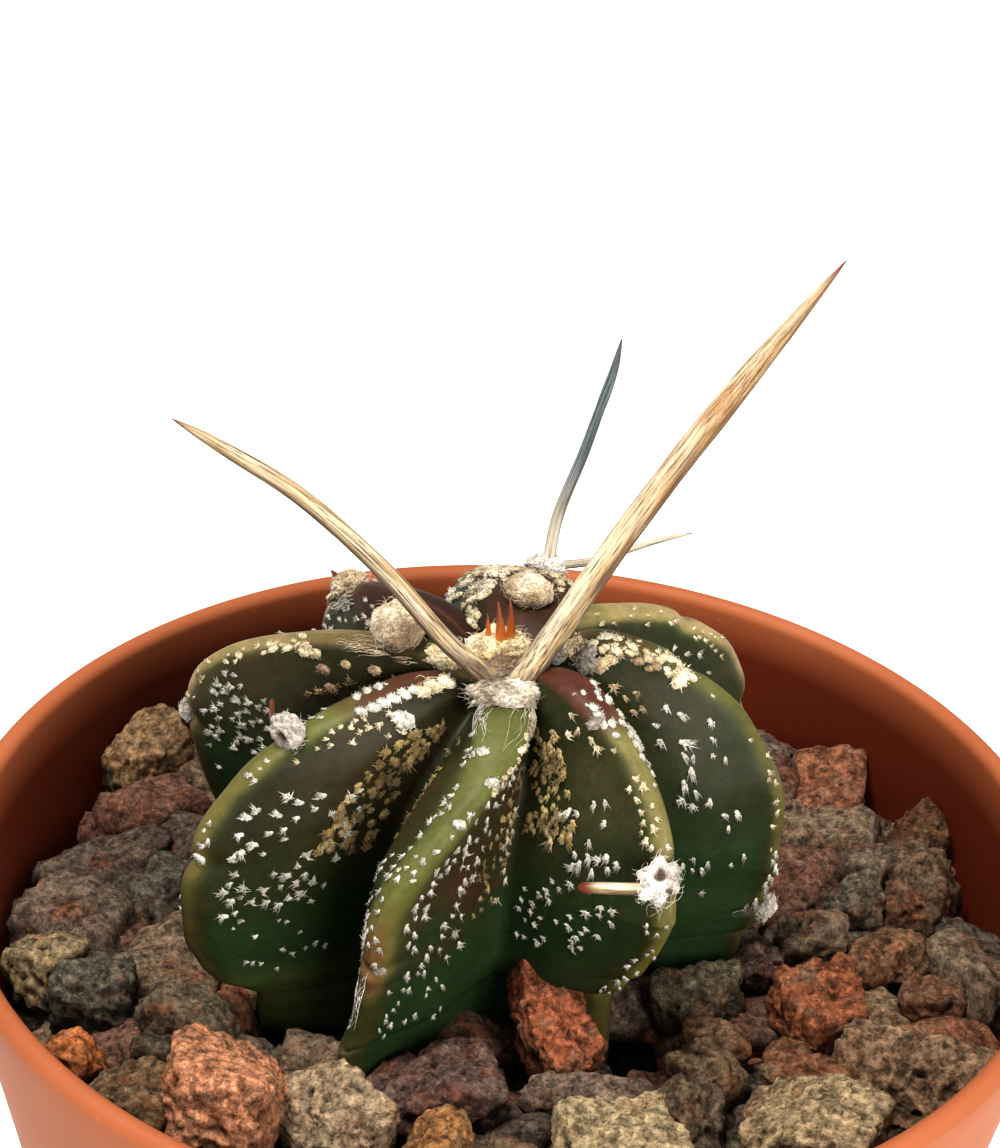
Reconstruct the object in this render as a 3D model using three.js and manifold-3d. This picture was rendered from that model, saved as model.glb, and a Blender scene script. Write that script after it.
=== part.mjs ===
// Goats horn cactus in a round nursery pot, topped with lava grit.
// Millimetres, Z up, the middle of the pot's underside at the origin.
import * as THREE from 'three';
import { mergeVertices } from 'three/addons/utils/BufferGeometryUtils.js';
import Module from 'manifold-3d';

const wasm = await Module();
wasm.setup();

// Pot
const potHeight = 54;
const rimRadius = 32.5;
const wallTaper = 0.193;
const wallThickness = 1.4;
const floorThickness = 1.6;
const drainRadius = 2.2;
const drainRing = 14.5;
const grooveWidth = 3.2;
const grooveDepth = 0.7;

// Grit, with heights measured down from the rim
const bedDrop = 8.2;
const gap = 0.3;
const stoneCount = 84;
const stoneSizes = [3.3, 1.9];
const bareSpots = [[-11, -8.2, 3.8], [7.4, -9.4, 2.6]]; // x, y and radius where the stem's foot shows

// Stem, measured from the rim plane
const stemX = -1;
const stemY = -0.5;
const crownZ = 11.6;
const crownDip = 3.2;
const crownSlope = 0.74;
const valleyRadius = 8;
const valleyFoot = 7;
const soilFootZ = -9;
const rootLength = 21;
const ribShoulder = 0.86;
const footThick = 1; // half thickness of every rib's foot

// Each rib's crest: its bearing at the crown, the equator and the foot, its reach, the heights of its
// top and equator, its foot's radius and height, its squareness, its tuck below and its half thickness
const ribs = Object.fromEntries([
  ['A', 276, 246.5, 241.5, 15.3, 13.2, 2.0, 16.0, -4.5, 2.3, 1, 0.95],
  ['I', 313, 306, 307, 16.6, 14.9, 5.0, 11.4, -3.2, 2.3, 1.6, 1.05],
  ['H', 359, 354, 352, 16.5, 15.6, 3.4, 14.9, -3.5, 2.2, 1, 1.05],
  ['G', 395, 394, 394, 17.6, 14.7, 4.0, 12.0, -4.0, 2.25, 1, 1.05],
  ['E', 436, 453, 455, 15.8, 13.8, 5.0, 12.0, -4.0, 2.6, 1, 2.6],
  ['D', 494, 492, 492, 15.8, 13.6, 6.0, 12.0, -4.0, 2.6, 1, 1.15],
  ['C', 528, 526, 525, 18.8, 13.1, 6.0, 13.0, -4.0, 2.35, 1, 1.05],
  ['B', 570, 568, 566, 19.2, 13.2, 1.0, 14.5, -6.0, 2.35, 1, 1.05],
].map(([name, crown, equator, foot, reach, top, mid, footRadius, footZ, square, tuck, thick]) => [
  name,
  { crown, equator, foot, reach, top, mid, footRadius, footZ, square, tuck, thick },
]));
const ribNames = Object.keys(ribs);

const tuftCount = 190;
const tuftSpacing = 0.95;
const tuftLowest = -3.6;
const stoneTries = 6000;
const stonePlanes = 5;
const stoneSquareness = 9;

// Spines: points that each passes through, from its root to its tip, heights from the rim
const leftHorn = [[-1.0, -3.9, 12.8], [-2.1, -3.4, 13.7], [-4.2, -2.6, 15.4], [-7.5, -1.3, 18.7],
  [-12.1, 0.1, 22], [-16.5, 0.8, 24.3], [-19.6, 1.1, 25.9]];
const rightHorn = [[-0.6, -3.9, 12.8], [0.4, -3.4, 13.7], [2.1, -2.2, 16.1], [4.7, -0.1, 20.9],
  [9.4, 2.4, 26.3], [12.6, 4, 30.1], [16.5, 6.3, 35.1]];
const backHorn = [[1.3, 10.7, 12.2], [1.8, 12.4, 15], [3.1, 14.1, 18.3], [4, 15.4, 20.9],
  [4.6, 16.3, 22.7], [5, 17.1, 24.6]];
const thinHorn = [[1.2, 10.8, 12.3], [3.9, 11, 12.7], [5.8, 11.2, 13.4], [7.8, 11.5, 14.1],
  [9.9, 11.8, 14.6]];
const stubHorn = [[8.8, -13.0, 7.1], [7.0, -14.0, 7.6], [5.3, -14.8, 8.0], [3.6, -15.5, 8.3]];
const youngHorns = [
  [[-1.8, -0.3, 13.2], [-1.85, -0.3, 14.4], [-1.95, -0.25, 15.5]],
  [[-1.1, -0.45, 13.2], [-1.2, -0.45, 14.9], [-1.4, -0.4, 16.4]],
  [[-0.6, 0.1, 13.2], [-0.62, 0.15, 14.8], [-0.75, 0.2, 16.3]],
];

// Areole wool: the rib it grows on, where along the crest, its half sizes, how far it leans to
// either flank, and its lift off the skin
const tufts = [
  { name: 'wool_front', rib: 'A', t: 0.12, sizes: [1.8, 2.4, 1.45], lean: 0.2, lift: 0, seed: 61 },
  { name: 'wool_left_ball', rib: 'C', t: 0.17, sizes: [1.7, 1.7, 1.7], lean: 0, lift: 0.9, seed: 62 },
  { name: 'wool_back_ball', rib: 'E', t: 0.17, sizes: [1.3, 1.5, 1.2], lean: 0, lift: 0.5, seed: 63 },
  { name: 'wool_back', rib: 'E', t: 0.46, sizes: [1.1, 1.4, 0.8], lean: -0.9, lift: 0.2, seed: 64 },
  { name: 'wool_far', rib: 'D', t: 0.66, sizes: [1.6, 1.5, 0.9], lean: 0, lift: 0.2, seed: 65 },
  { name: 'wool_left', rib: 'B', t: 0.43, sizes: [1.0, 0.9, 0.8], lean: 0, lift: 0.4, seed: 66 },
  { name: 'wool_left_low', rib: 'C', t: 1.05, sizes: [0.8, 0.6, 0.6], lean: 0, lift: 0.1, seed: 67 },
  { name: 'wool_right', rib: 'I', t: 0.84, sizes: [1.4, 1.35, 0.8], lean: -0.4, lift: 0.2, seed: 68 },
  { name: 'wool_right_low', rib: 'H', t: 1.56, sizes: [1.1, 0.7, 0.7], lean: 0, lift: 0.1, seed: 69 },
].map((tuft) => ({ ...tuft, at: new THREE.Vector3(), keepOut: Math.max(...tuft.sizes) + 0.7 }));

// Loose stones: place, drop below the rim, half sizes, bearing of the long side, tilt and colour
const looseStones = [
  [2.6, -10.9, 4.6, 3.4, 1.9, 1.9, -50, 20, 0x96604c],
  [18.6, -8.1, 5.7, 2.8, 2.6, 2.5, 20, 0, 0xa35a38],
  [23.2, -12.6, 6.3, 3.7, 3.3, 3.3, -40, 0, 0x8a786a],
  [7.0, -20.9, 6.6, 3.5, 3.0, 3.1, 10, 0, 0xa99a80],
  [16.6, -18.0, 6.0, 3.6, 3.1, 3.2, -25, 0, 0xa08a70],
  [-14.6, -17.6, 5.4, 3.8, 3.2, 3.4, 70, 10, 0xb0745a],
  [-9.3, -18.2, 5.9, 3.6, 2.0, 2.3, -42, 8, 0x8a7666],
  [-3.6, -15.4, 6.6, 3.6, 2.3, 2.4, 8, 0, 0x6b5048],
  [4.8, -14.9, 6.5, 3.9, 1.6, 1.7, -8, 0, 0x75605c],
  [-2.9, -20.0, 6.2, 2.4, 1.9, 1.9, 30, 0, 0x96663f],
  [-17.3, -10.8, 6.2, 2.6, 2.2, 2.3, -20, 0, 0x6f5f58],
  [-18.4, -13.7, 6.9, 1.7, 1.6, 1.7, 0, 0, 0x5a5050],
  [-26.1, -7.0, 5.9, 2.2, 2.1, 2.5, 60, 0, 0x968264],
  [-23.2, -9.2, 5.7, 2.1, 2.0, 2.1, 0, 0, 0x645f55],
  [-23.4, -14.4, 6.4, 1.7, 1.4, 1.4, 25, 0, 0xa55f37],
  [-19.8, -17.9, 6.1, 2.8, 2.0, 2.1, -30, 0, 0x8c7355],
  [11.4, -6.6, 6.1, 2.4, 1.9, 2.0, 20, 0, 0x6e6450],
  [14.6, -3.8, 5.9, 1.3, 1.3, 1.8, 0, 0, 0x644b4b],
  [17.9, -0.9, 5.8, 1.9, 1.8, 2.3, 0, 0, 0x826e5a],
  [22.0, -1.9, 6.3, 2.5, 1.7, 1.7, 10, 0, 0x8c5a4b],
  [21.0, 4.0, 6.1, 1.7, 1.7, 1.9, 0, 0, 0x73695a],
  [16.9, -13.2, 6.0, 2.6, 1.5, 1.4, -22, 0, 0x96695a],
  [12.3, -9.9, 6.4, 1.7, 1.4, 1.4, 0, 0, 0x916e64],
  [11.7, -12.8, 6.4, 1.8, 1.6, 1.7, 40, 0, 0x967d64],
  [10.6, -16.6, 6.3, 1.9, 1.9, 2.1, 0, 0, 0x78645f],
  [25.4, 5.4, 6.4, 2.9, 2.1, 2.2, 70, 0, 0x7d5f4b],
  [25.8, 11.4, 6.4, 2.0, 1.8, 2.0, 30, 0, 0x785046],
  [-23.9, 14.4, 6.0, 2.7, 2.4, 2.5, 20, 0, 0x786450],
  [24.9, -4.9, 6.6, 1.8, 1.3, 1.3, 0, 0, 0x8c5f4b],
].map(([x, y, drop, a, b, c, yaw, tilt, color], i) => (
  { seed: 100 + i, x, y, drop, a, b, c, yaw, tilt, color }
));

const paint = {
  pot: { color: 0xc4694a, roughness: 0.55 },
  grit: { color: 0x6e6050, roughness: 0.95 },
  stem: { color: 0x3c4d28, roughness: 0.6 },
  wool: { color: 0xd8ccb2, roughness: 1.0 },
  spine: { color: 0xc9a878, roughness: 0.7 },
  youngSpine: { color: 0xa85a20, roughness: 0.5 },
};

const part = new THREE.Group();

function randomFrom(seed) {
  let state = seed;
  return () => {
    state = (state + 0x6d2b79f5) | 0;
    let value = Math.imul(state ^ (state >>> 15), 1 | state);
    value = (value + Math.imul(value ^ (value >>> 7), 61 | value)) ^ value;
    return ((value ^ (value >>> 14)) >>> 0) / 4294967296;
  };
}

function welded(geometry) {
  const bare = geometry.clone();
  bare.deleteAttribute('normal');
  bare.deleteAttribute('uv');
  return mergeVertices(bare, 1e-4);
}

function toSolid(geometry) {
  const mesh = welded(geometry);
  return new wasm.Manifold(new wasm.Mesh({
    numProp: 3,
    vertProperties: new Float32Array(mesh.attributes.position.array),
    triVerts: new Uint32Array(mesh.index.array),
  }));
}

function toGeometry(solid) {
  const mesh = solid.getMesh();
  const geometry = new THREE.BufferGeometry();
  geometry.setAttribute('position', new THREE.BufferAttribute(mesh.vertProperties, 3));
  geometry.setIndex(new THREE.BufferAttribute(mesh.triVerts, 1));
  geometry.computeVertexNormals();
  return geometry;
}

// Moves every vertex out along its normal, to cut a pocket with clearance.
function grown(geometry, distance) {
  const mesh = welded(geometry);
  mesh.computeVertexNormals();
  const place = mesh.attributes.position;
  const normal = mesh.attributes.normal;
  for (let i = 0; i < place.count; i += 1) {
    place.setXYZ(
      i,
      place.getX(i) + normal.getX(i) * distance,
      place.getY(i) + normal.getY(i) * distance,
      place.getZ(i) + normal.getZ(i) * distance,
    );
  }
  return mesh;
}

function moveVertices(geometry, rule) {
  const place = geometry.attributes.position;
  const point = new THREE.Vector3();
  for (let i = 0; i < place.count; i += 1) {
    point.fromBufferAttribute(place, i);
    rule(point, i);
    place.setXYZ(i, point.x, point.y, point.z);
  }
  return geometry;
}

function addPiece(name, geometry, look) {
  const material = new THREE.MeshStandardMaterial({ ...look, metalness: 0 });
  const mesh = new THREE.Mesh(geometry, material);
  mesh.name = name;
  part.add(mesh);
}

function turned(profile, segments) {
  const points = profile.map(([r, z]) => new THREE.Vector2(r, z));
  return new THREE.LatheGeometry(points, segments).rotateX(Math.PI / 2);
}

const outerRadiusAt = (z) => rimRadius - (potHeight - z) * wallTaper;
const innerRadiusAt = (z) => outerRadiusAt(z) - wallThickness;

// Pot: a plain tapered wall with a rounded lip, four drain holes and four grooves under the floor
function makePot() {
  const lip = wallThickness / 2;
  const profile = [[0, 0], [outerRadiusAt(0) - 0.6, 0], [outerRadiusAt(0.6), 0.6]];
  for (let step = 0; step <= 5; step += 1) {
    const turn = (step / 5) * Math.PI;
    profile.push([rimRadius - lip + lip * Math.cos(turn), potHeight - lip + lip * Math.sin(turn)]);
  }
  profile.push([innerRadiusAt(floorThickness + 1), floorThickness + 1]);
  profile.push([innerRadiusAt(floorThickness) - 1, floorThickness]);
  profile.push([0, floorThickness]);
  let solid = toSolid(turned(profile, 72));
  for (let side = 0; side < 4; side += 1) {
    const angle = (side + 0.5) * Math.PI / 2;
    const drain = new THREE.CylinderGeometry(drainRadius, drainRadius, 6, 16).rotateX(Math.PI / 2);
    drain.translate(drainRing, 0, 0).rotateZ(angle);
    const grooveLength = outerRadiusAt(0) - drainRing + 2;
    const groove = new THREE.BoxGeometry(grooveLength, grooveWidth, grooveDepth * 2);
    groove.translate(drainRing + grooveLength / 2, 0, 0).rotateZ(angle);
    solid = solid.subtract(toSolid(drain)).subtract(toSolid(groove));
  }
  addPiece('pot', toGeometry(solid), paint.pot);
}

// Crest of a rib. t runs 0 at the crown, 1 at the equator, 2 at the foot.
function crestAt(rib, t) {
  const over = Math.min(t, 1) * Math.PI / 2;
  const under = Math.min(Math.max(t - 1, 0), 1) * Math.PI / 2;
  const down = Math.min(Math.max(t - 2, 0), 1);
  let radius = rib.reach * Math.sin(over) ** (2 / rib.square);
  let z = rib.mid + (rib.top - rib.mid) * Math.cos(over) ** (2 / rib.square);
  const blend = THREE.MathUtils.clamp((radius - 3) / (rib.reach - 3), 0, 1) ** 2;
  z -= (rib.top - crownZ) * Math.exp(-((radius / crownDip) ** 2));
  let bearing = rib.crown + (rib.equator - rib.crown) * blend;
  if (t > 1) {
    radius = rib.footRadius + (rib.reach - rib.footRadius) * Math.cos(under) ** rib.tuck;
    z = rib.mid - (rib.mid - rib.footZ) * Math.sin(under) ** rib.tuck + (soilFootZ - rib.footZ) * down;
    bearing = rib.equator + (rib.foot - rib.equator) * Math.min(t - 1, 1);
  }
  return { radius, z, bearing };
}

function valleyAt(before, after, t) {
  const over = Math.min(t, 1) * Math.PI / 2;
  const under = Math.min(Math.max(t - 1, 0), 1) * Math.PI / 2;
  const down = Math.min(Math.max(t - 2, 0), 1);
  const mid = (before.mid + after.mid) / 2;
  const footZ = (before.footZ + after.footZ) / 2;
  const bearing = (crestAt(before, t).bearing + crestAt(after, t).bearing) / 2;
  if (t <= 1) {
    return { radius: valleyRadius * Math.sin(over), z: mid + (crownZ - mid) * Math.cos(over), bearing };
  }
  const radius = valleyFoot + (valleyRadius - valleyFoot) * Math.cos(under);
  return { radius, z: mid - (mid - footZ) * Math.sin(under) + (soilFootZ - footZ) * down, bearing };
}

function toPoint({ radius, z, bearing }) {
  const angle = bearing * Math.PI / 180;
  return new THREE.Vector3(stemX + radius * Math.cos(angle), stemY + radius * Math.sin(angle), potHeight + z);
}

const wrapped = (index) => (index + ribNames.length) % ribNames.length;
function neighbour(index, side) {
  const rib = ribs[ribNames[wrapped(index + side)]];
  const lap = index + side < 0 ? -360 : index + side >= ribNames.length ? 360 : 0;
  return { ...rib, crown: rib.crown + lap, equator: rib.equator + lap, foot: rib.foot + lap };
}

// A point on a rib's flank: side is -1 or 1, s runs 0 in the furrow to 1 on the crest.
function stemPoint(index, side, s, t) {
  const rib = ribs[ribNames[index]];
  const crest = crestAt(rib, t);
  const pair = side < 0 ? [neighbour(index, -1), rib] : [rib, neighbour(index, 1)];
  const furrow = toPoint(valleyAt(pair[0], pair[1], t));
  const point = furrow.lerp(toPoint(crest), s);
  const angle = crest.bearing * Math.PI / 180;
  const narrowing = Math.min(1, crest.radius / 6);
  const thick = THREE.MathUtils.lerp(rib.thick, footThick, THREE.MathUtils.smoothstep(t, 0.9, 1.6));
  let bulge = THREE.MathUtils.smoothstep(s, 0, 0.6);
  if (s > ribShoulder) bulge = Math.sqrt(Math.max(0, 1 - ((s - ribShoulder) / (1 - ribShoulder)) ** 2));
  const lateral = new THREE.Vector3(-Math.sin(angle), Math.cos(angle), 0);
  return point.addScaledVector(lateral, side * bulge * thick * narrowing);
}

const flankSteps = [0, 0.3, 0.6, 0.86, 0.96, 1];
const heightSteps = [0, 0.12, 0.2, 0.29, 0.4, 0.53, 0.67, 0.83, 1, 1.17, 1.35, 1.55, 1.78, 2, 3];
const rootSteps = [[6.5, -11], [4, -17], [1.6, soilFootZ - rootLength]];

function stemColumn(column, t) {
  const perSide = flankSteps.length - 1;
  const index = Math.floor(column / (2 * perSide)) % ribNames.length;
  const within = column % (2 * perSide);
  const side = within < perSide ? -1 : 1;
  const s = flankSteps[within < perSide ? within : 2 * perSide - within];
  return stemPoint(index, side, s, t);
}

function makeStemGeometry() {
  const columns = ribNames.length * 2 * (flankSteps.length - 1);
  const rows = heightSteps.length + rootSteps.length;
  const geometry = new THREE.SphereGeometry(1, columns, rows);
  return moveVertices(geometry, (point, i) => {
    const row = Math.floor(i / (columns + 1));
    const column = i % (columns + 1) % columns;
    if (row < heightSteps.length) {
      point.copy(stemColumn(column, heightSteps[row]));
      return;
    }
    const [radius, z] = rootSteps[Math.min(row - heightSteps.length, rootSteps.length - 1)];
    const foot = stemColumn(column, 3);
    const angle = Math.atan2(foot.y - stemY, foot.x - stemX);
    const tip = row === rows ? 0 : 1;
    point.set(
      stemX + tip * radius * Math.cos(angle),
      stemY + tip * radius * Math.sin(angle),
      potHeight + z - (1 - tip) * 0.8,
    );
  });
}

function stepBelow(steps, value) {
  let at = 0;
  while (at < steps.length - 2 && steps[at + 1] <= value) at += 1;
  return { low: steps[at], high: steps[at + 1], part: (value - steps[at]) / (steps[at + 1] - steps[at]) };
}

// The same place on the faceted skin, between its rows and columns
function skinPoint(index, side, s, t) {
  const across = stepBelow(flankSteps, s);
  const down = stepBelow(heightSteps, t);
  const upper = stemPoint(index, side, across.low, down.low)
    .lerp(stemPoint(index, side, across.high, down.low), across.part);
  const lower = stemPoint(index, side, across.low, down.high)
    .lerp(stemPoint(index, side, across.high, down.high), across.part);
  return upper.lerp(lower, down.part);
}

// Outward normal of the stem's skin
function skinNormal(index, side, s, t) {
  const alongS = skinPoint(index, side, s + 0.02, t).sub(skinPoint(index, side, s - 0.02, t));
  const alongT = skinPoint(index, side, s, t + 0.02).sub(skinPoint(index, side, s, t - 0.02));
  return alongS.cross(alongT).multiplyScalar(side).normalize();
}

// Where tufts of hair sit: rows beside the crests, a band on each flank, a dense strip in the furrows
function tuftSpots(random, count) {
  const spots = [];
  const places = [];
  while (spots.length < count) {
    const index = Math.floor(random() * ribNames.length);
    const side = random() < 0.5 ? -1 : 1;
    const kind = random();
    const a = random();
    const b = random();
    let s = 0.12 + 0.76 * a;
    let t = 0.3 + 1.4 * b;
    if (kind < 0.3) s = 0.85 + 0.05 * a;
    if (kind < 0.3) t = 0.22 + 1.5 * b;
    else if (kind < 0.6) s = 0.35 + 0.4 * a;
    else if (kind < 0.85) s = 0.08 + 0.25 * a;
    if (kind >= 0.6 && kind < 0.85) t = 0.45 + 0.75 * b;
    const place = skinPoint(index, side, s, t);
    const nearWool = tufts.some((tuft) => tuft.at.distanceTo(place) < tuft.keepOut);
    const nearOther = places.some((other) => other.distanceTo(place) < tuftSpacing);
    if (!nearWool && !nearOther && place.z > potHeight + tuftLowest) {
      places.push(place);
      spots.push({ index, side, s, t, place });
    }
  }
  return spots;
}

function makeTuft(spot, random) {
  const size = 0.42 + 0.2 * random();
  const geometry = new THREE.TetrahedronGeometry(size);
  const upright = new THREE.Quaternion().setFromUnitVectors(
    new THREE.Vector3(1, 1, 1).normalize(),
    new THREE.Vector3(0, 0, 1),
  );
  geometry.applyQuaternion(upright).rotateZ(random() * Math.PI * 2).scale(1.4, 1, 1).translate(0, 0, -0.12);
  const normal = skinNormal(spot.index, spot.side, spot.s, spot.t);
  const stand = new THREE.Quaternion().setFromUnitVectors(new THREE.Vector3(0, 0, 1), normal);
  return geometry.applyQuaternion(stand).translate(spot.place.x, spot.place.y, spot.place.z);
}

// A lump that a few random planes square off, as broken lava is. Its half sizes are a, b and c.
function stoneGeometry(seed, a, b, c, start) {
  const random = randomFrom(seed);
  const planes = [];
  for (const axis of [[1, 0, 0], [0, 1, 0], [0, 0, 1]]) {
    for (const sign of [-1, 1]) {
      planes.push([new THREE.Vector3(...axis).multiplyScalar(sign), 1 + 0.15 * random()]);
    }
  }
  for (let i = 0; i < stonePlanes; i += 1) {
    const z = 2 * random() - 1;
    const turn = 2 * Math.PI * random();
    const flat = Math.sqrt(1 - z * z);
    planes.push([new THREE.Vector3(flat * Math.cos(turn), flat * Math.sin(turn), z), 0.72 + 0.25 * random()]);
  }
  return moveVertices(start, (point) => {
    point.normalize();
    let sum = 0;
    for (const [normal, height] of planes) sum += Math.max(0, point.dot(normal) / height) ** stoneSquareness;
    point.multiplyScalar(sum ** (-1 / stoneSquareness));
    point.set(point.x * a, point.y * b, point.z * c);
  });
}

function placeStone({ seed, x, y, drop, a, b, c, yaw, tilt }, start) {
  const geometry = stoneGeometry(seed, a, b, c, start);
  geometry.rotateY(THREE.MathUtils.degToRad(tilt)).rotateZ(THREE.MathUtils.degToRad(yaw));
  return geometry.translate(x, y, potHeight - drop);
}

// How far the stem's ribs reach at the grit, at a bearing in degrees
function footReach(bearing) {
  let reach = valleyFoot;
  for (const name of ribNames) {
    const rib = ribs[name];
    const off = Math.abs(((bearing - rib.foot + 540) % 360) - 180);
    reach = Math.max(reach, valleyFoot + (rib.footRadius - valleyFoot) * (1 - off / 22));
  }
  return reach;
}

// Small stones of the top layer, biggest first, dropped where they fit
function scatteredStones() {
  const random = randomFrom(41);
  const stones = [];
  for (let attempt = 0; attempt < stoneTries && stones.length < stoneCount; attempt += 1) {
    const size = stoneSizes[0] + (stoneSizes[1] - stoneSizes[0]) * (attempt / stoneTries) ** 0.6;
    const ring = (innerRadiusAt(potHeight - bedDrop) - 0.6 * size) * Math.sqrt(random());
    const turn = 2 * Math.PI * random();
    const x = ring * Math.cos(turn);
    const y = ring * Math.sin(turn);
    const shape = [random(), random(), random(), random(), random()];
    const bearing = (Math.atan2(y - stemY, x - stemX) * 180 / Math.PI + 360) % 360;
    const clearOfStem = Math.hypot(x - stemX, y - stemY) > footReach(bearing) + 0.5 * size
      && bareSpots.every(([spotX, spotY, radius]) => Math.hypot(x - spotX, y - spotY) > radius + 0.5 * size);
    const clearOfStones = [...looseStones, ...stones].every((other) => {
      const reach = Math.max(other.a, other.b);
      return Math.hypot(other.x - x, other.y - y) > 0.74 * (reach + size);
    });
    if (clearOfStem && clearOfStones) {
      stones.push({
        seed: 500 + stones.length,
        x,
        y,
        drop: bedDrop - 0.15 * size + 0.5 * shape[0],
        a: size * (0.95 + 0.2 * shape[1]),
        b: size * (0.7 + 0.25 * shape[2]),
        c: size * (0.65 + 0.25 * shape[3]),
        yaw: 360 * shape[4],
        tilt: 20 * shape[1] - 10,
      });
    }
  }
  return stones;
}

function bedShape(topZ) {
  const low = floorThickness + gap;
  return toSolid(turned([
    [0, low],
    [innerRadiusAt(low) - 1 - gap, low],
    [innerRadiusAt(low + 1) - gap, low + 1],
    [innerRadiusAt(topZ) - gap, topZ],
    [0, topZ],
  ], 48));
}

// Adds and cuts in one place, so that every piece is made the same way
const joined = (solids) => solids.reduce((sum, solid) => sum.add(solid));
const cutBy = (solid, cutters) => cutters.reduce((rest, cutter) => rest.subtract(cutter), solid);
const pocketFor = (geometry, distance = gap) => toSolid(grown(geometry, distance));

// A tapered horn along a smooth curve through its points; width gives its radius from 0 to 1 along it
function hornGeometry(points, width, sides, rings) {
  const curve = new THREE.CatmullRomCurve3(points.map(([x, y, z]) => new THREE.Vector3(x, y, potHeight + z)));
  const frames = curve.computeFrenetFrames(rings);
  const geometry = new THREE.ConeGeometry(1, 1, sides, rings);
  return moveVertices(geometry, (point) => {
    const along = point.y + 0.5;
    const ring = Math.round(along * rings);
    const out = Math.hypot(point.x, point.z);
    const radius = out > 1e-6 ? width(along) / out : 0;
    const across = frames.binormals[ring].clone().multiplyScalar(point.x * radius);
    const side = frames.normals[ring].clone().multiplyScalar(point.z * radius);
    point.copy(curve.getPoint(along)).add(across).add(side);
  });
}

const hornWidth = (base, middle) => (u) => (u < 0.55
  ? base + (middle - base) * (u / 0.55)
  : middle * (1 - ((u - 0.55) / 0.45) ** 1.6) + 0.02);

// A lumpy ellipsoid, for wool and for the root that joins spines
function lump(sizes, detail, roughness, seed) {
  const random = randomFrom(seed);
  const waves = [0, 1, 2, 3].map(() => [
    new THREE.Vector3(random() - 0.5, random() - 0.5, random() - 0.5).multiplyScalar(9),
    random() * 6,
  ]);
  const geometry = new THREE.IcosahedronGeometry(1, detail);
  moveVertices(geometry, (point) => {
    point.normalize();
    let bump = 1;
    for (const [wave, phase] of waves) bump += (roughness / 4) * Math.sin(point.dot(wave) + phase);
    point.multiplyScalar(bump);
    point.set(point.x * sizes[0], point.y * sizes[1], point.z * sizes[2]);
  });
  return geometry;
}

// Stands a shape on a rib's crest, its own z along the crest's normal, lifted off the skin
function onCrest(geometry, { rib: name, t, lean, lift }) {
  const rib = ribs[name];
  const here = crestAt(rib, t);
  const before = crestAt(rib, t - 0.02);
  const after = crestAt(rib, t + 0.02);
  const slope = Math.atan2(before.z - after.z, after.radius - before.radius);
  const turn = new THREE.Quaternion()
    .setFromAxisAngle(new THREE.Vector3(0, 0, 1), here.bearing * Math.PI / 180)
    .multiply(new THREE.Quaternion().setFromAxisAngle(new THREE.Vector3(0, 1, 0), slope));
  const place = toPoint(here);
  return geometry.translate(0, lean, lift).applyQuaternion(turn).translate(place.x, place.y, place.z);
}

for (const tuft of tufts) tuft.at.copy(toPoint(crestAt(ribs[tuft.rib], tuft.t)));
makePot();

const stemShape = makeStemGeometry();
const tuftRandom = randomFrom(7);
const fleckSpots = tuftSpots(tuftRandom, tuftCount);
const fleckRandom = randomFrom(8);
const flecks = fleckSpots.map((spot) => toSolid(makeTuft(spot, fleckRandom)));
addPiece('stem', toGeometry(toSolid(stemShape).add(joined(flecks))), paint.stem);

const stemPocket = pocketFor(stemShape, gap + 0.1);
const stonePocket = pocketFor(stemShape, gap + 0.25);

// Spines: each pocket is made from the plain horns, so it stays a clean solid
const pockets = [];
function addGrown(name, shapes, look, cutters) {
  addPiece(name, toGeometry(cutBy(joined(shapes.map(toSolid)), cutters)), look);
  pockets.push(joined(shapes.map((shape) => pocketFor(shape))));
}

addGrown('front_spines', [
  hornGeometry(leftHorn, hornWidth(0.68, 0.5), 8, 12),
  hornGeometry(rightHorn, hornWidth(0.76, 0.6), 8, 12),
], paint.spine, [stemPocket]);
addGrown('back_spines', [
  hornGeometry(backHorn, hornWidth(0.36, 0.28), 6, 9),
  hornGeometry(thinHorn, hornWidth(0.26, 0.18), 6, 7),
], paint.spine, [stemPocket]);
addGrown('stub_spine', [hornGeometry(stubHorn, () => 0.38, 8, 3)], paint.spine, [stemPocket]);
addGrown(
  'young_spines',
  youngHorns.map((horn) => hornGeometry(horn, (u) => 0.42 * (1 - u) + 0.03, 5, 2)),
  paint.youngSpine,
  [stemPocket],
);

// Wool
const crownFloor = toSolid(turned([
  [0, potHeight],
  [6, potHeight],
  [6, potHeight + crownZ + gap * 1.4 + 6 * crownSlope],
  [0, potHeight + crownZ + gap * 1.4],
], 16).translate(stemX, stemY, 0));
addGrown(
  'crown_wool',
  [lump([1.9, 2.3, 1.45], 1, 0.12, 21).translate(-1.2, -0.3, potHeight + 12.8)],
  paint.wool,
  [crownFloor, ...pockets],
);
for (const tuft of tufts) {
  const shape = onCrest(lump(tuft.sizes, 1, 0.2, tuft.seed), tuft);
  addGrown(tuft.name, [shape], paint.wool, [stemPocket, ...pockets]);
}

// Loose stones, each in a pocket of its own
const stonePockets = [];
looseStones.forEach((stone, i) => {
  const shape = placeStone(stone, new THREE.DodecahedronGeometry(1));
  const near = stonePockets.filter((pocket, j) => {
    const other = looseStones[j];
    return Math.hypot(other.x - stone.x, other.y - stone.y) < 1.4 * (other.a + stone.a);
  });
  const solid = cutBy(toSolid(shape), [stonePocket, ...near]).intersect(bedShape(potHeight));
  stonePockets.push(pocketFor(shape));
  const name = `stone_${String(i + 1).padStart(2, '0')}`;
  addPiece(name, toGeometry(solid), { ...paint.grit, color: stone.color });
});

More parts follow.
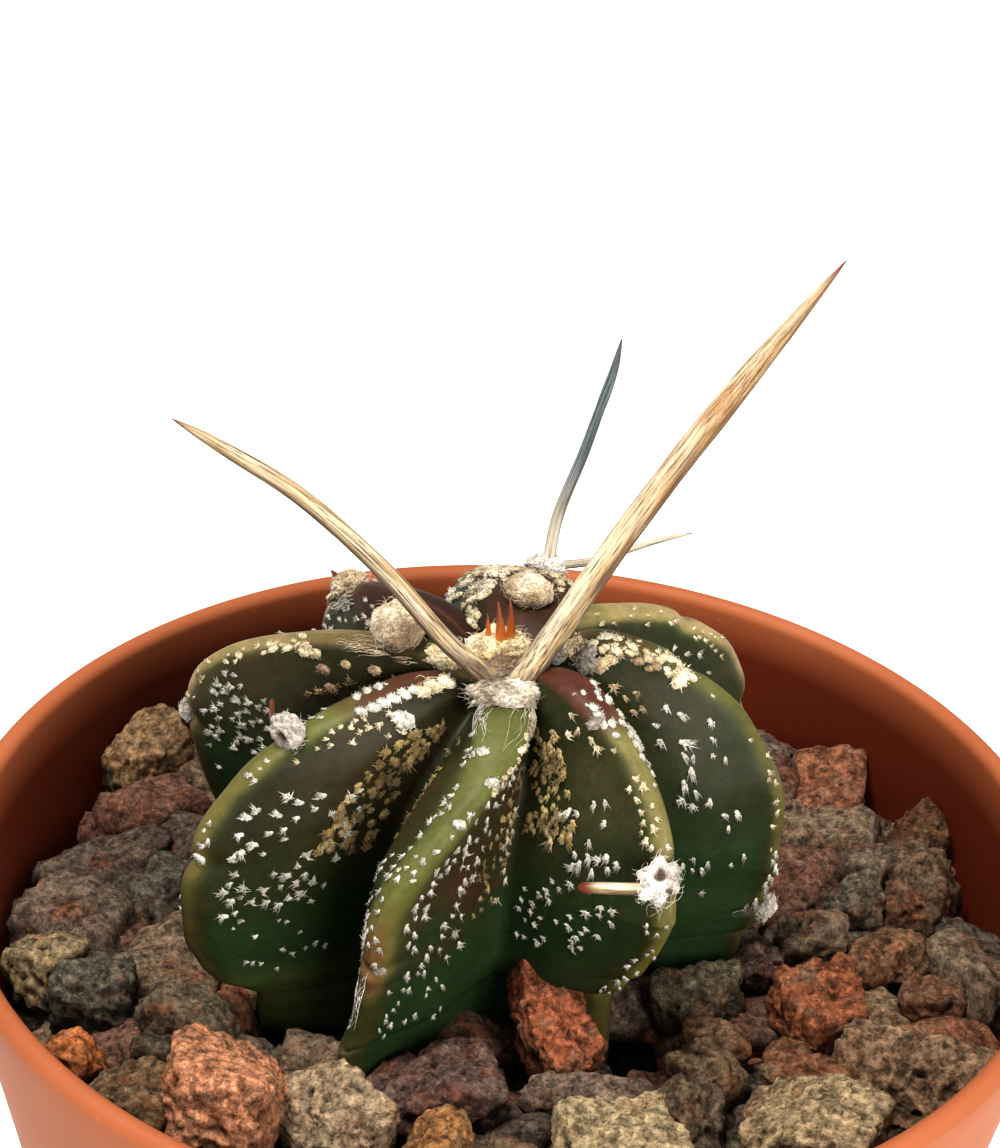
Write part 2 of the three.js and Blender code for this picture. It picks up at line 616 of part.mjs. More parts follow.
// Grit bed, hollowed for the stem, its furrows and the loose stones
const bedStones = scatteredStones()
  .map((stone) => toSolid(placeStone(stone, new THREE.IcosahedronGeometry(1))));
const bed = joined([bedShape(potHeight - bedDrop), ...bedStones]).intersect(bedShape(potHeight));
const furrowCore = toSolid(turned([
  [0, potHeight + soilFootZ - 2],
  [valleyFoot + 1, potHeight + soilFootZ - 1],
  [valleyFoot + 1, potHeight],
  [0, potHeight],
], 32).translate(stemX, stemY, 0));
addPiece('grit_bed', toGeometry(cutBy(bed, [stemPocket, furrowCore, ...stonePockets])), paint.grit);

part.updateMatrixWorld(true);
export default part;
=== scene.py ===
import math
import bmesh
import bpy
from mathutils import Matrix, Quaternion, Vector, noise


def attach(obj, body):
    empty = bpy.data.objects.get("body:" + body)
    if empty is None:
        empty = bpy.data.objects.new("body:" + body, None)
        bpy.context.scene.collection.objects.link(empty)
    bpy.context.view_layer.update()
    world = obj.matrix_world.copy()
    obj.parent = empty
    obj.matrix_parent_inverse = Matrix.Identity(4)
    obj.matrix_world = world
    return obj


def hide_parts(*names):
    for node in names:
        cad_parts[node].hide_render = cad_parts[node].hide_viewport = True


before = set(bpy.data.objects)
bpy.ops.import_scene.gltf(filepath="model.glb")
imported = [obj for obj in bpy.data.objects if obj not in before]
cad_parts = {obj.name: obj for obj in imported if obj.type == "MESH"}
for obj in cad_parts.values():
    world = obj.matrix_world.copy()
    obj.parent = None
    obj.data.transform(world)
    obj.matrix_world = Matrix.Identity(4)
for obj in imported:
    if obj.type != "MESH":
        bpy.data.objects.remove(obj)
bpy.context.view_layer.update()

mm = 0.001
potHeight = 54
scene = bpy.context.scene
scene.view_settings.view_transform = "Standard"
scene.view_settings.look = "Medium High Contrast"
noise.seed_set(7)  # else noise_vector differs from run to run


def place(x, y, z):  # z is measured from the rim
    return Vector((x, y, potHeight + z)) * mm


def clamp(value, low=0.0, high=1.0):
    return min(max(value, low), high)


def smoothStep(value, low, high):
    x = clamp((value - low) / (high - low))
    return x * x * (3 - 2 * x)


def mix(a, b, part):
    return a + (b - a) * part


def randomFrom(seed):  # the same draws as the solid model makes
    state = seed

    def draw():
        nonlocal state
        state = (state + 0x6D2B79F5) & 0xFFFFFFFF
        value = ((state ^ (state >> 15)) * (1 | state)) & 0xFFFFFFFF
        value = ((value + (value ^ (value >> 7)) * (61 | value)) & 0xFFFFFFFF) ^ value
        return (value ^ (value >> 14)) / 4294967296

    return draw


# Materials

def linear(code):
    parts = [int(code[i:i + 2], 16) / 255 for i in (1, 3, 5)]
    return [c / 12.92 if c <= 0.04045 else ((c + 0.055) / 1.055) ** 2.4 for c in parts] + [1.0]


# Adds a node and gives back one of its outputs; a socket among its inputs is linked, another value is set
def addNode(tree, kind, inputs=None, stops=(), out=0, **settings):
    node = tree.nodes.new("ShaderNode" + kind)
    for key, value in settings.items():
        setattr(node, key, value)
    for key, value in (inputs or {}).items():
        if isinstance(value, bpy.types.NodeSocket):
            tree.links.new(value, node.inputs[key])
        else:
            node.inputs[key].default_value = value
    if stops:
        ramp = node.color_ramp.elements
        ramp[0].position, ramp[1].position = stops[0][0], stops[-1][0]
        for stop, code in stops[1:-1]:
            ramp.new(stop)
        for element, (stop, code) in zip(ramp, stops):
            element.color = linear(code)
    return node.outputs[out]


# Lays colours over one another: a mask's name or a noise, the colour, and the noise's range and strength
def layered(tree, colour, *layers):
    for source, code, *span in layers:
        if isinstance(source, str):
            source = addNode(tree, "Attribute", out="Fac", attribute_name=source)
        if span:
            source = addNode(tree, "MapRange", {"Value": source, "From Min": span[0], "From Max": span[1],
                                                "To Max": span[2]})
        colour = addNode(tree, "Mix", {0: source, 6: colour, 7: linear(code)}, out=2, data_type="RGBA")
    return colour


# Darkens and lightens a colour as a noise goes from low to high
def dappled(tree, colour, value, low, high, darkest, lightest):
    amount = addNode(tree, "MapRange", {"Value": value, "From Min": low, "From Max": high,
                                        "To Min": darkest, "To Max": lightest})
    return addNode(tree, "VectorMath", {0: colour, "Scale": amount}, operation="SCALE")


def newMaterial(name, roughness, specular=0.5):
    material = bpy.data.materials.new(name)
    material.use_nodes = True
    tree = material.node_tree
    shader = tree.nodes["Principled BSDF"]
    shader.inputs["Roughness"].default_value = roughness
    shader.inputs["Specular IOR Level"].default_value = specular
    return material, tree, shader


def surfaced(tree, shader, colour, height, strength, depth):
    tree.links.new(colour, shader.inputs["Base Color"])
    normal = addNode(tree, "Bump", {"Height": height, "Strength": strength, "Distance": depth})
    tree.links.new(normal, shader.inputs["Normal"])


def mouldedPlastic():
    # Injection-moulded polypropylene with terracotta pigment: satin, slightly mottled, faint mould grain
    material, tree, shader = newMaterial("moulded_terracotta_plastic", 0.56, 0.16)
    shader.inputs["IOR"].default_value = 1.49
    coords = addNode(tree, "TexCoord", out="Object")
    cloud = addNode(tree, "TexNoise", {"Vector": coords, "Scale": 90, "Detail": 4})
    speck = addNode(tree, "TexNoise", {"Vector": coords, "Scale": 1400, "Detail": 2})  # 0.7 mm
    grain = addNode(tree, "TexNoise", {"Vector": coords, "Scale": 2600, "Detail": 3})  # 0.4 mm
    colour = addNode(tree, "ValToRGB", {"Fac": cloud},
                     [(0.3, "#955434"), (0.5, "#9B5939"), (0.72, "#A15F3F")])
    # pale specks of pigment, and painted shade darkening the inner wall below the lip
    colour = layered(tree, colour, (speck, "#C48E70", 0.7, 0.8, 0.2), ("paintedInnerShade", "#52200F"))
    surfaced(tree, shader, colour, grain, 0.12, 0.0001)
    return material


# The skin's masks and their colours, each over the last
skinMasks = {"low": "#22361D", "flush": "#42241C", "crest": "#6C6834", "pale": "#525A32", "brown": "#6E5032",
             "cork": "#B39870", "bare": "#4C2A20", "paintedSkinShade": "#28150D"}


def cactusSkin():
    # Waxy epidermis: dark green flanks, olive crests, red-brown bare skin by the crown, tiny pale stomata
    material, tree, shader = newMaterial("waxy_cactus_skin", 0.5, 0.18)
    shader.inputs["Subsurface Weight"].default_value = 0.12
    shader.inputs["Subsurface Radius"].default_value = (0.4, 0.8, 0.2)
    shader.inputs["Subsurface Scale"].default_value = 0.001
    coords = addNode(tree, "TexCoord", out="Object")
    cloud = addNode(tree, "TexNoise", {"Vector": coords, "Scale": 150, "Detail": 5, "Roughness": 0.6})
    mottle = addNode(tree, "TexNoise", {"Vector": coords, "Scale": 1100, "Detail": 6, "Roughness": 0.8})
    pores = addNode(tree, "TexVoronoi", {"Vector": coords, "Scale": 3600})  # 0.28 mm apart
    fine = addNode(tree, "TexNoise", {"Vector": coords, "Scale": 900, "Detail": 4})
    colour = addNode(tree, "ValToRGB", {"Fac": cloud},
                     [(0.3, "#1E2410"), (0.48, "#282C15"), (0.6, "#31311A"), (0.72, "#3B301D")])
    colour = layered(tree, colour, *skinMasks.items())
    colour = dappled(tree, colour, mottle, 0.3, 0.7, 0.72, 1.28)
    colour = layered(tree, colour, (pores, "#7F8A5A", 0.35, 0.05, 0.05))
    surfaced(tree, shader, colour, fine, 0.18, 0.0002)
    return material


def plantHair(name, dark, middle, light, scale=500):
    # Dry plant fibre: matt, with a soft edge of light
    material, tree, shader = newMaterial(name, 0.9, 0.2)
    shader.inputs["Sheen Weight"].default_value = 0.25
    shader.inputs["Sheen Roughness"].default_value = 0.5
    coords = addNode(tree, "TexCoord", out="Object")
    cloud = addNode(tree, "TexNoise", {"Vector": coords, "Scale": scale, "Detail": 4})
    curls = addNode(tree, "TexNoise", {"Vector": coords, "Scale": 2300, "Detail": 3, "Distortion": 2.5})
    fuzz = addNode(tree, "TexNoise", {"Vector": coords, "Scale": 4200, "Detail": 3})  # 0.24 mm
    colour = addNode(tree, "ValToRGB", {"Fac": cloud}, [(0.3, dark), (0.5, middle), (0.66, light)])
    colour = dappled(tree, colour, curls, 0.36, 0.6, 0.55, 1.12)
    # painted shade on the wool's underside and in its hollow
    colour = layered(tree, colour, ("paintedWoolShade", "#3A241C"))
    surfaced(tree, shader, colour, fuzz, 0.6, 0.0002)
    return material


def dryHorn(name, streak, body, light, speckAmount):
    # Dead spine: dry horn whose fibres run lengthwise, straw with darker streaks and short dashes
    material, tree, shader = newMaterial(name, 0.6, 0.3)
    grain = addNode(tree, "Attribute", out="Vector", attribute_name="grain")
    drawn = addNode(tree, "VectorMath", {0: grain, 1: (1, 1, 0.35)}, operation="MULTIPLY")
    fibre = addNode(tree, "TexNoise", {"Vector": grain, "Scale": 4.6, "Detail": 5, "Roughness": 0.72})
    thread = addNode(tree, "TexNoise", {"Vector": drawn, "Scale": 17, "Detail": 3, "Roughness": 0.6})
    specks = addNode(tree, "TexNoise", {"Vector": grain, "Scale": 13, "Detail": 4, "Roughness": 0.6})
    colour = addNode(tree, "ValToRGB", {"Fac": fibre}, [(0.4, streak), (0.47, body), (0.6, light)])
    colour = dappled(tree, colour, thread, 0.35, 0.65, 0.62, 1.25)
    colour = layered(tree, colour, ("litAndBleached", "#E9DCC2"), ("warm", "#9A6C34"), ("shade", "#524136"),
                     ("barkAndUnderShade", "#55463D"), ("sheath", "#848D94"), (specks, "#4E3020", 0.54, 0.61, speckAmount),
                     ("tip", "#6A2E17"), ("crack", "#2E231C"))
    rise = addNode(tree, "Math", {0: fibre, 1: thread}, operation="ADD")
    surfaced(tree, shader, colour, rise, 0.6, 0.0002)
    return material


def youngHorn():
    # Growing spine: wet-looking orange-brown horn, paler at its foot
    material, tree, shader = newMaterial("young_orange_horn", 0.3)
    coords = addNode(tree, "TexCoord", out="Object")
    height = addNode(tree, "SeparateXYZ", {0: coords}, out="Z")
    rise = addNode(tree, "MapRange", {"Value": height, "From Min": 0.0675, "From Max": 0.0695})
    colour = addNode(tree, "ValToRGB", {"Fac": rise}, [(0, "#D08A3C"), (0.45, "#B4601F"), (1, "#7A3A18")])
    tree.links.new(colour, shader.inputs["Base Color"])
    return material


def lavaStone():
    # Broken scoria: matt and coarse, every grain its own tone, with painted shade in its hollows and under
    # each stone, and dusty on top
    material, tree, shader = newMaterial("broken_lava_stone", 0.95, 0.15)
    coords = addNode(tree, "TexCoord", out="Object")
    tint = addNode(tree, "Attribute", out="Color", attribute_name="tint")
    cloud, patches, blots, grains = [
        addNode(tree, "TexNoise", {"Vector": coords, "Scale": scale, "Detail": detail, "Roughness": rough})
        for scale, detail, rough in ((1300, 9, 0.8), (420, 7, 0.75), (700, 6, 0.7), (3300, 4, 0.7))]
    cells = addNode(tree, "TexVoronoi", {"Vector": coords, "Scale": 3400}, out="Color")  # 0.3 mm grains
    grade = addNode(tree, "SeparateColor", {0: cells})
    colour = layered(tree, tint, (patches, "#8E7A66", 0.53, 0.66, 0.5),
                     (patches, "#7A452C", 0.48, 0.36, 0.6),  # rust
                     (blots, "#6B6A5C", 0.56, 0.66, 0.5))
    colour = dappled(tree, colour, cloud, 0.4, 0.68, 0.24, 1.8)
    colour = dappled(tree, colour, grade, 0, 1, 0.7, 1.35)
    # pores, dust, and painted shade in the hollows and under each stone
    colour = layered(tree, colour, (grains, "#1E1713", 0.42, 0.33, 0.8),  # pores and dark crystals
                     (grains, "#B9A890", 0.62, 0.72, 0.5),  # dust
                     ("hollow", "#17110E", 0, 1, 0.85))
    surfaced(tree, shader, colour, cloud, 0.8, 0.00035)
    return material


# Pieces

def makePiece(name, bm, material, replaced=(), slot=None):
    mesh = bpy.data.meshes.new(name)
    bm.to_mesh(mesh)
    bm.free()
    mesh.polygons.foreach_set("use_smooth", [True] * len(mesh.polygons))
    return ownPiece(name, mesh, material, replaced, slot)


def ownPiece(name, mesh, material, replaced=(), slot=None):
    piece = bpy.data.objects.new(name, mesh)
    scene.collection.objects.link(piece)
    mesh.materials.clear()
    mesh.materials.append(material)
    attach(piece, "root")
    if replaced:
        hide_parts(*replaced)
    return piece


# Adds a finished part to the bmesh of a piece
def joined(bm, part):
    mesh = bpy.data.meshes.new("part")
    part.to_mesh(mesh)
    part.free()
    bm.from_mesh(mesh)
    bpy.data.meshes.remove(mesh)


# Spins a profile in mm round the pot's axis
def turned(profile, steps):
    bm = bmesh.new()
    verts = [bm.verts.new((r * mm, 0, z * mm)) for r, z in profile]
    edges = [bm.edges.new(pair) for pair in zip(verts, verts[1:])]
    bmesh.ops.spin(bm, geom=verts + edges, axis=(0, 0, 1), cent=(0, 0, 0), angle=math.tau, steps=steps,
                   use_merge=True)
    bmesh.ops.remove_doubles(bm, verts=bm.verts, dist=1e-6)
    bmesh.ops.recalc_face_normals(bm, faces=bm.faces)
    return bm


# Rolls a sphere's grid into a closed body: rule gives the place for a column and a row
def rolled(bm, around, along, rule):
    bmesh.ops.create_uvsphere(bm, u_segments=around, v_segments=along, radius=1)
    for vert in bm.verts:
        row = round(math.acos(clamp(vert.co.z, -1, 1)) / math.pi * along)
        column = round(math.atan2(vert.co.y, vert.co.x) / (2 * math.pi) * around) % around
        vert.co = rule(vert, column, row)
    bmesh.ops.recalc_face_normals(bm, faces=bm.faces)


# Camera, light and floor

camera = {
    "eye": (0, -133.530, 95.685),
    "right": (0.99848, 0.03503, 0.04256),
    "up": (-0.05441, 0.50216, 0.86306),
    "back": (0.00886, -0.86406, 0.50330),
    "lens": 2800 / 1148 * 36,
}


def makeStage():
    lens = bpy.data.cameras.new("camera")
    lens.lens = camera["lens"]
    lens.sensor_width = 36
    lens.clip_start = 0.005
    lens.clip_end = 20
    view = bpy.data.objects.new("camera", lens)
    view.rotation_mode = "QUATERNION"
    turn = Matrix([camera[axis] for axis in ("right", "up", "back")]).transposed()
    view.rotation_quaternion = turn.to_quaternion()
    view.location = place(*camera["eye"])
    scene.collection.objects.link(view)
    scene.camera = view

    material, tree, shader = newMaterial("matt_white_card", 0.9, 0.1)
    shader.inputs["Base Color"].default_value = linear("#F7F6F4")
    bm = bmesh.new()
    bmesh.ops.create_circle(bm, cap_ends=True, segments=96, radius=3)
    mesh = bpy.data.meshes.new("floor")
    bm.to_mesh(mesh)
    bm.free()
    floor = bpy.data.objects.new("floor", mesh)
    mesh.materials.append(material)
    scene.collection.objects.link(floor)

    world = bpy.data.worlds.new("soft_room")
    world.use_nodes = True
    world.node_tree.nodes["Background"].inputs["Color"].default_value = (1.0, 0.985, 0.955, 1)
    world.node_tree.nodes["Background"].inputs["Strength"].default_value = 0.5
    scene.world = world
    for name, spot, size, power in (
        ("key", (-0.24, -0.06, 0.93), 0.24, 9.6),
        ("fill", (0.42, -0.6, 0.32), 0.45, 6.4),
    ):
        lamp = bpy.data.lights.new(name, "AREA")
        lamp.size = size
        lamp.energy = power
        lamp.color = (1.0, 0.965, 0.9)
        light = bpy.data.objects.new(name, lamp)
        light.location = spot
        light.rotation_mode = "QUATERNION"
        light.rotation_quaternion = (Vector((0, 0, 0.05)) - Vector(spot)).to_track_quat("-Z", "Y")
        scene.collection.objects.link(light)


makeStage()
print("camera, floor and lights")

# Pot

pot = {
    "rimRadius": 32.5,
    "taper": 0.193,
    "wall": 1.4,
    "floor": 1.6,
    "drainRadius": 2.2,
    "drainRing": 14.5,
    "grooveWidth": 3.2,
    "grooveDepth": 0.7,
    "segments": 256,
}


def potOuter(z):  # z from the table
    return pot["rimRadius"] - (potHeight - z) * pot["taper"]


def potInner(z):
    return potOuter(z) - pot["wall"]


def makePot():
    lip = pot["wall"] / 2
    profile = [(0, 0), (potOuter(0) - 0.6, 0), (potOuter(0) - 0.15, 0.16), (potOuter(0.6), 0.6)]
    profile += [(potOuter(z), z) for z in range(6, 52, 5)]
    for step in range(13):
        turn = step / 12 * math.pi
        profile.append((pot["rimRadius"] + lip * (math.cos(turn) - 1),
                        potHeight + lip * (math.sin(turn) - 1)))
    profile += [(potInner(z), z) for z in range(51, 3, -5)]
    top = pot["floor"]
    profile += [(potInner(top + 1), top + 1), (potInner(top + 0.4) - 0.4, top + 0.3),
                (potInner(top) - 1, top), (0, top)]
    body = makePiece("pot_body", turned(profile, pot["segments"]), mouldedPlastic(), ["pot"], "pot")

    cutters = bmesh.new()
    turns = [Matrix.Rotation((side + 0.5) * math.pi / 2, 4, "Z") for side in range(4)]
    for turn in turns:
        bmesh.ops.create_cone(cutters, cap_ends=True, segments=40, radius1=pot["drainRadius"] * mm,
                              radius2=pot["drainRadius"] * mm, depth=10 * mm,
                              matrix=turn @ Matrix.Translation((pot["drainRing"] * mm, 0, 0)))
    reach = potOuter(0) - pot["drainRing"] + 2
    size = Matrix.Diagonal((reach * mm, pot["grooveWidth"] * mm, pot["grooveDepth"] * 2 * mm, 1))
    for turn in turns:
        bmesh.ops.create_cube(cutters, size=1, matrix=turn @ Matrix.Translation(
            ((pot["drainRing"] + reach / 2) * mm, 0, 0)) @ size)
    mesh = bpy.data.meshes.new("drain_cutters")
    cutters.to_mesh(mesh)
    cutters.free()
    tool = bpy.data.objects.new("drain_cutters", mesh)
    scene.collection.objects.link(tool)
    cut = body.modifiers.new("drains", "BOOLEAN")
    cut.operation = "DIFFERENCE"
    cut.solver = "EXACT"
    cut.use_self = True
    cut.object = tool
    shaped = bpy.data.meshes.new_from_object(body.evaluated_get(bpy.context.evaluated_depsgraph_get()))
    body.modifiers.clear()
    body.data = shaped
    shaped.name = "pot_body"
    bpy.data.objects.remove(tool)
    # painted shade: the inner wall darkens below the lip
    paintedInnerShade = shaped.attributes.new("paintedInnerShade", "FLOAT", "POINT")
    for vert in shaped.vertices:
        z = vert.co.z / mm
        wall = potOuter(z) - vert.co.xy.length / mm
        paintedInnerShade.data[vert.index].value = smoothStep(wall, 0.8, 1.3) * smoothStep(potHeight - z, 0.2, 1.6)


makePot()
print("pot")

# Stem, measured from the rim plane

stem = {
    "x": -1,
    "y": -0.5,
    "crownZ": 11.6,
    "crownDip": 3.2,
    "valleyRadius": 8,
    "valleyFoot": 7,
    "soilFootZ": -9,
    "rootLength": 21,
    "footThick": 1,
    "ribShoulder": 0.86,
    "nickWidth": 0.035,
    "rowsUpper": 150,
    "rowsLower": 16,
}
# Each rib: bearings at the crown, the equator and the foot, reach, height of its top and of its widest
# place, radius and height of its foot, how square its top and how tucked its foot is, and half thickness
ribKeys = "crown equator foot reach top mid footRadius footZ square tuck thick".split()
ribs = {name: dict(zip(ribKeys, row)) for name, *row in [
    ("A", 276, 246.5, 241.5, 15.3, 13.2, 2.0, 16.0, -4.5, 2.3, 1, 0.95),
    ("I", 313, 306, 307, 16.6, 14.9, 5.0, 11.4, -3.2, 2.3, 1.6, 1.05),
    ("H", 359, 354, 352, 16.5, 15.6, 3.4, 14.9, -3.5, 2.2, 1, 1.05),
    ("G", 395, 394, 394, 17.6, 14.7, 4.0, 12.0, -4.0, 2.25, 1, 1.05),
    ("E", 436, 453, 455, 15.8, 13.8, 5.0, 12.0, -4.0, 2.6, 1, 2.6),
    ("D", 494, 492, 492, 15.8, 13.6, 6.0, 12.0, -4.0, 2.6, 1, 1.15),
    ("C", 528, 526, 525, 18.8, 13.1, 6.0, 13.0, -4.0, 2.35, 1, 1.05),
    ("B", 570, 568, 566, 19.2, 13.2, 1.0, 14.5, -6.0, 2.35, 1, 1.05),
]}
ribNames = list(ribs)
ribCount = len(ribNames)

# Areole scars that nick each crest: where along it and how deep
nicks = {
    "A": [(1.08, 0.3), (1.22, 0.2)],
    "B": [(0.43, 0.2), (0.87, 0.55)],
    "C": [(0.17, 0.3), (1.05, 0.45)],
    "D": [(0.66, 0.3), (1.3, 0.35)],
    "E": [(0.46, 0.3), (1.2, 0.35)],
    "G": [(0.5, 0.35), (0.95, 0.35), (1.4, 0.3)],
    "H": [(0.42, 0.4), (1.56, 0.6)],
    "I": [(0.3, 0.2), (0.84, 0.4), (1.62, 0.5)],
}
# Bare red-brown skin on the upper crests: from, to, and how strong
bareSkin = {"B": (0.08, 0.27, 0.9), "I": (0.06, 0.34, 1.0), "H": (0.1, 0.3, 0.45), "C": (0.1, 0.4, 0.3),
            "D": (0.02, 0.5, 1.0), "E": (0.05, 0.4, 0.6)}
# Painted shade, dark brown, over the upper faces: how dark, where along the rib it fades, and how far below
# the crest it starts
paintedSkinShade = {"D": (0.9, 0.4, 0.62, 0), "E": (0.5, 0.4, 0.62, 0), "B": (0.42, 0.5, 1.0, 1.4),
        "C": (0.3, 0.5, 0.9, 1.4), "H": (0.2, 0.3, 0.8, 1.4)}
# Half thickness of each rib's crest near the crown, at the middle and low down
crestWidths = {"A": (1.35, 0.68, 0.5), "I": (1.0, 0.66, 0.6), "H": (1.0, 0.65, 0.65), "G": (1.0, 1.0, 1.0),
               "E": (2.4, 2.6, 1.1), "D": (1.2, 1.15, 1.0), "C": (1.0, 0.9, 0.9), "B": (0.9, 0.8, 0.9)}
# How brown and, below, how corky each crest's edge is
brownEdge = {"B": 0.3, "C": 0.3, "G": 0.7, "D": 0.5, "E": 0.4, "A": 0.1, "H": 0.15, "I": 0.15}
# How far down its flanks a crest's olive goes
edgeReach = {"A": 1.1, "I": 0.42, "H": 0.4, "C": 0.42, "E": 0.4, "B": 0.5}
crestGlow = {"H": 0.55, "A": 0.95}
corkEdge = {"G": 0.5, "E": 0.35, "D": 0.5, "C": 0.5, "I": 0.15}


def crestAt(rib, t):  # t runs 0 at the crown, 1 at the equator, 2 at the foot
    over = min(t, 1) * math.pi / 2
    under = clamp(t - 1) * math.pi / 2
    down = clamp(t - 2)
    radius = rib["reach"] * math.sin(over) ** (2 / rib["square"])
    z = rib["mid"] + (rib["top"] - rib["mid"]) * max(0, math.cos(over)) ** (2 / rib["square"])
    blend = clamp((radius - 3) / (rib["reach"] - 3)) ** 2
    z -= (rib["top"] - stem["crownZ"]) * math.exp(-(radius / stem["crownDip"]) ** 2)
    bearing = mix(rib["crown"], rib["equator"], blend)
    if t > 1:
        radius = mix(rib["footRadius"], rib["reach"], math.cos(under) ** rib["tuck"])
        z = mix(rib["mid"], rib["footZ"], math.sin(under) ** rib["tuck"])
        z += (stem["soilFootZ"] - rib["footZ"]) * down
        bearing = mix(rib["equator"], rib["foot"], min(t - 1, 1))
    return radius, z, bearing


def valleyAt(before, after, t):
    over = min(t, 1) * math.pi / 2
    under = clamp(t - 1) * math.pi / 2
    mid = (before["mid"] + after["mid"]) / 2
    footZ = (before["footZ"] + after["footZ"]) / 2
    bearing = (crestAt(before, t)[2] + crestAt(after, t)[2]) / 2
    if t <= 1:
        return stem["valleyRadius"] * math.sin(over), mix(mid, stem["crownZ"], math.cos(over)), bearing
    radius = mix(stem["valleyFoot"], stem["valleyRadius"], math.cos(under))
    return radius, mix(mid, footZ, math.sin(under)) + (stem["soilFootZ"] - footZ) * clamp(t - 2), bearing


def stemPlace(radius, z, bearing):
    angle = math.radians(bearing)
    return Vector((stem["x"] + radius * math.cos(angle), stem["y"] + radius * math.sin(angle), z))


def neighbour(index, side):
    at = index + side
    rib = dict(ribs[ribNames[at % ribCount]])
    lap = -360 if at < 0 else 360 if at >= ribCount else 0
    for key in ("crown", "equator", "foot"):
        rib[key] += lap
    return rib


beside = {(index, side): neighbour(index, side) for index in range(ribCount) for side in (-1, 1)}


# A point on a rib's flank: side is -1 or 1, s runs 0 in the furrow to 1 on the crest
def stemPoint(index, side, s, t):
    name = ribNames[index]
    rib = ribs[name]
    radius, z, bearing = crestAt(rib, t)
    pull = sum(depth * math.exp(-((t - at) / stem["nickWidth"]) ** 2) for at, depth in nicks[name])
    pull *= smoothStep(s, 0.7, 0.95)
    pull += 0.22 * noise.noise(Vector((t * 6, index * 3.7, 0)))
    out = Vector((radius, z - rib["mid"]))
    if t < 2 and out.length > 4:
        out *= 1 - pull * smoothStep(t, 0.1, 0.3) / out.length
        radius, z = out.x, rib["mid"] + out.y
    pair = (beside[index, -1], rib) if side < 0 else (rib, beside[index, 1])
    furrow = stemPlace(*valleyAt(pair[0], pair[1], t))
    point = furrow.lerp(stemPlace(radius, z, bearing), s)
    angle = math.radians(bearing)
    bulge = smoothStep(s, 0, 0.6)
    if s > stem["ribShoulder"]:
        bulge = math.sqrt(max(0, 1 - ((s - stem["ribShoulder"]) / (1 - stem["ribShoulder"])) ** 2))
    bulge *= 1 + 0.12 * noise.noise(Vector((t * 5, index * 5.1, side * 2)))
    high, middle, low = crestWidths[name]
    thick = mix(mix(high, middle, smoothStep(t, 0.15, 0.62)), low, smoothStep(t, 0.9, 1.6))
    base = mix(rib["thick"], stem["footThick"], smoothStep(t, 0.9, 1.6))
    thick = mix(base, thick, smoothStep(s, 0.4, 0.88))
    width = bulge * thick * min(1, radius / 6)
    width += 0.12 * smoothStep(s, 0.2, 0.5) * noise.noise(point * 0.35)
    return point + Vector((-math.sin(angle), math.cos(angle), 0)) * side * width


# Steps across a flank, close together round the crest
flankSteps = [0, 0.06, 0.13, 0.21, 0.3, 0.39, 0.48, 0.56, 0.64, 0.71, 0.77, 0.82]
flankSteps += [stem["ribShoulder"] + (1 - stem["ribShoulder"]) * math.sin(step / 9 * math.pi / 2)
               for step in range(10)]


def stemColumn(column):
    perSide = len(flankSteps) - 1
    index = column // (2 * perSide) % ribCount
    within = column % (2 * perSide)
    if within < perSide:
        return index, -1, flankSteps[within]
    return index, 1, flankSteps[2 * perSide - within]


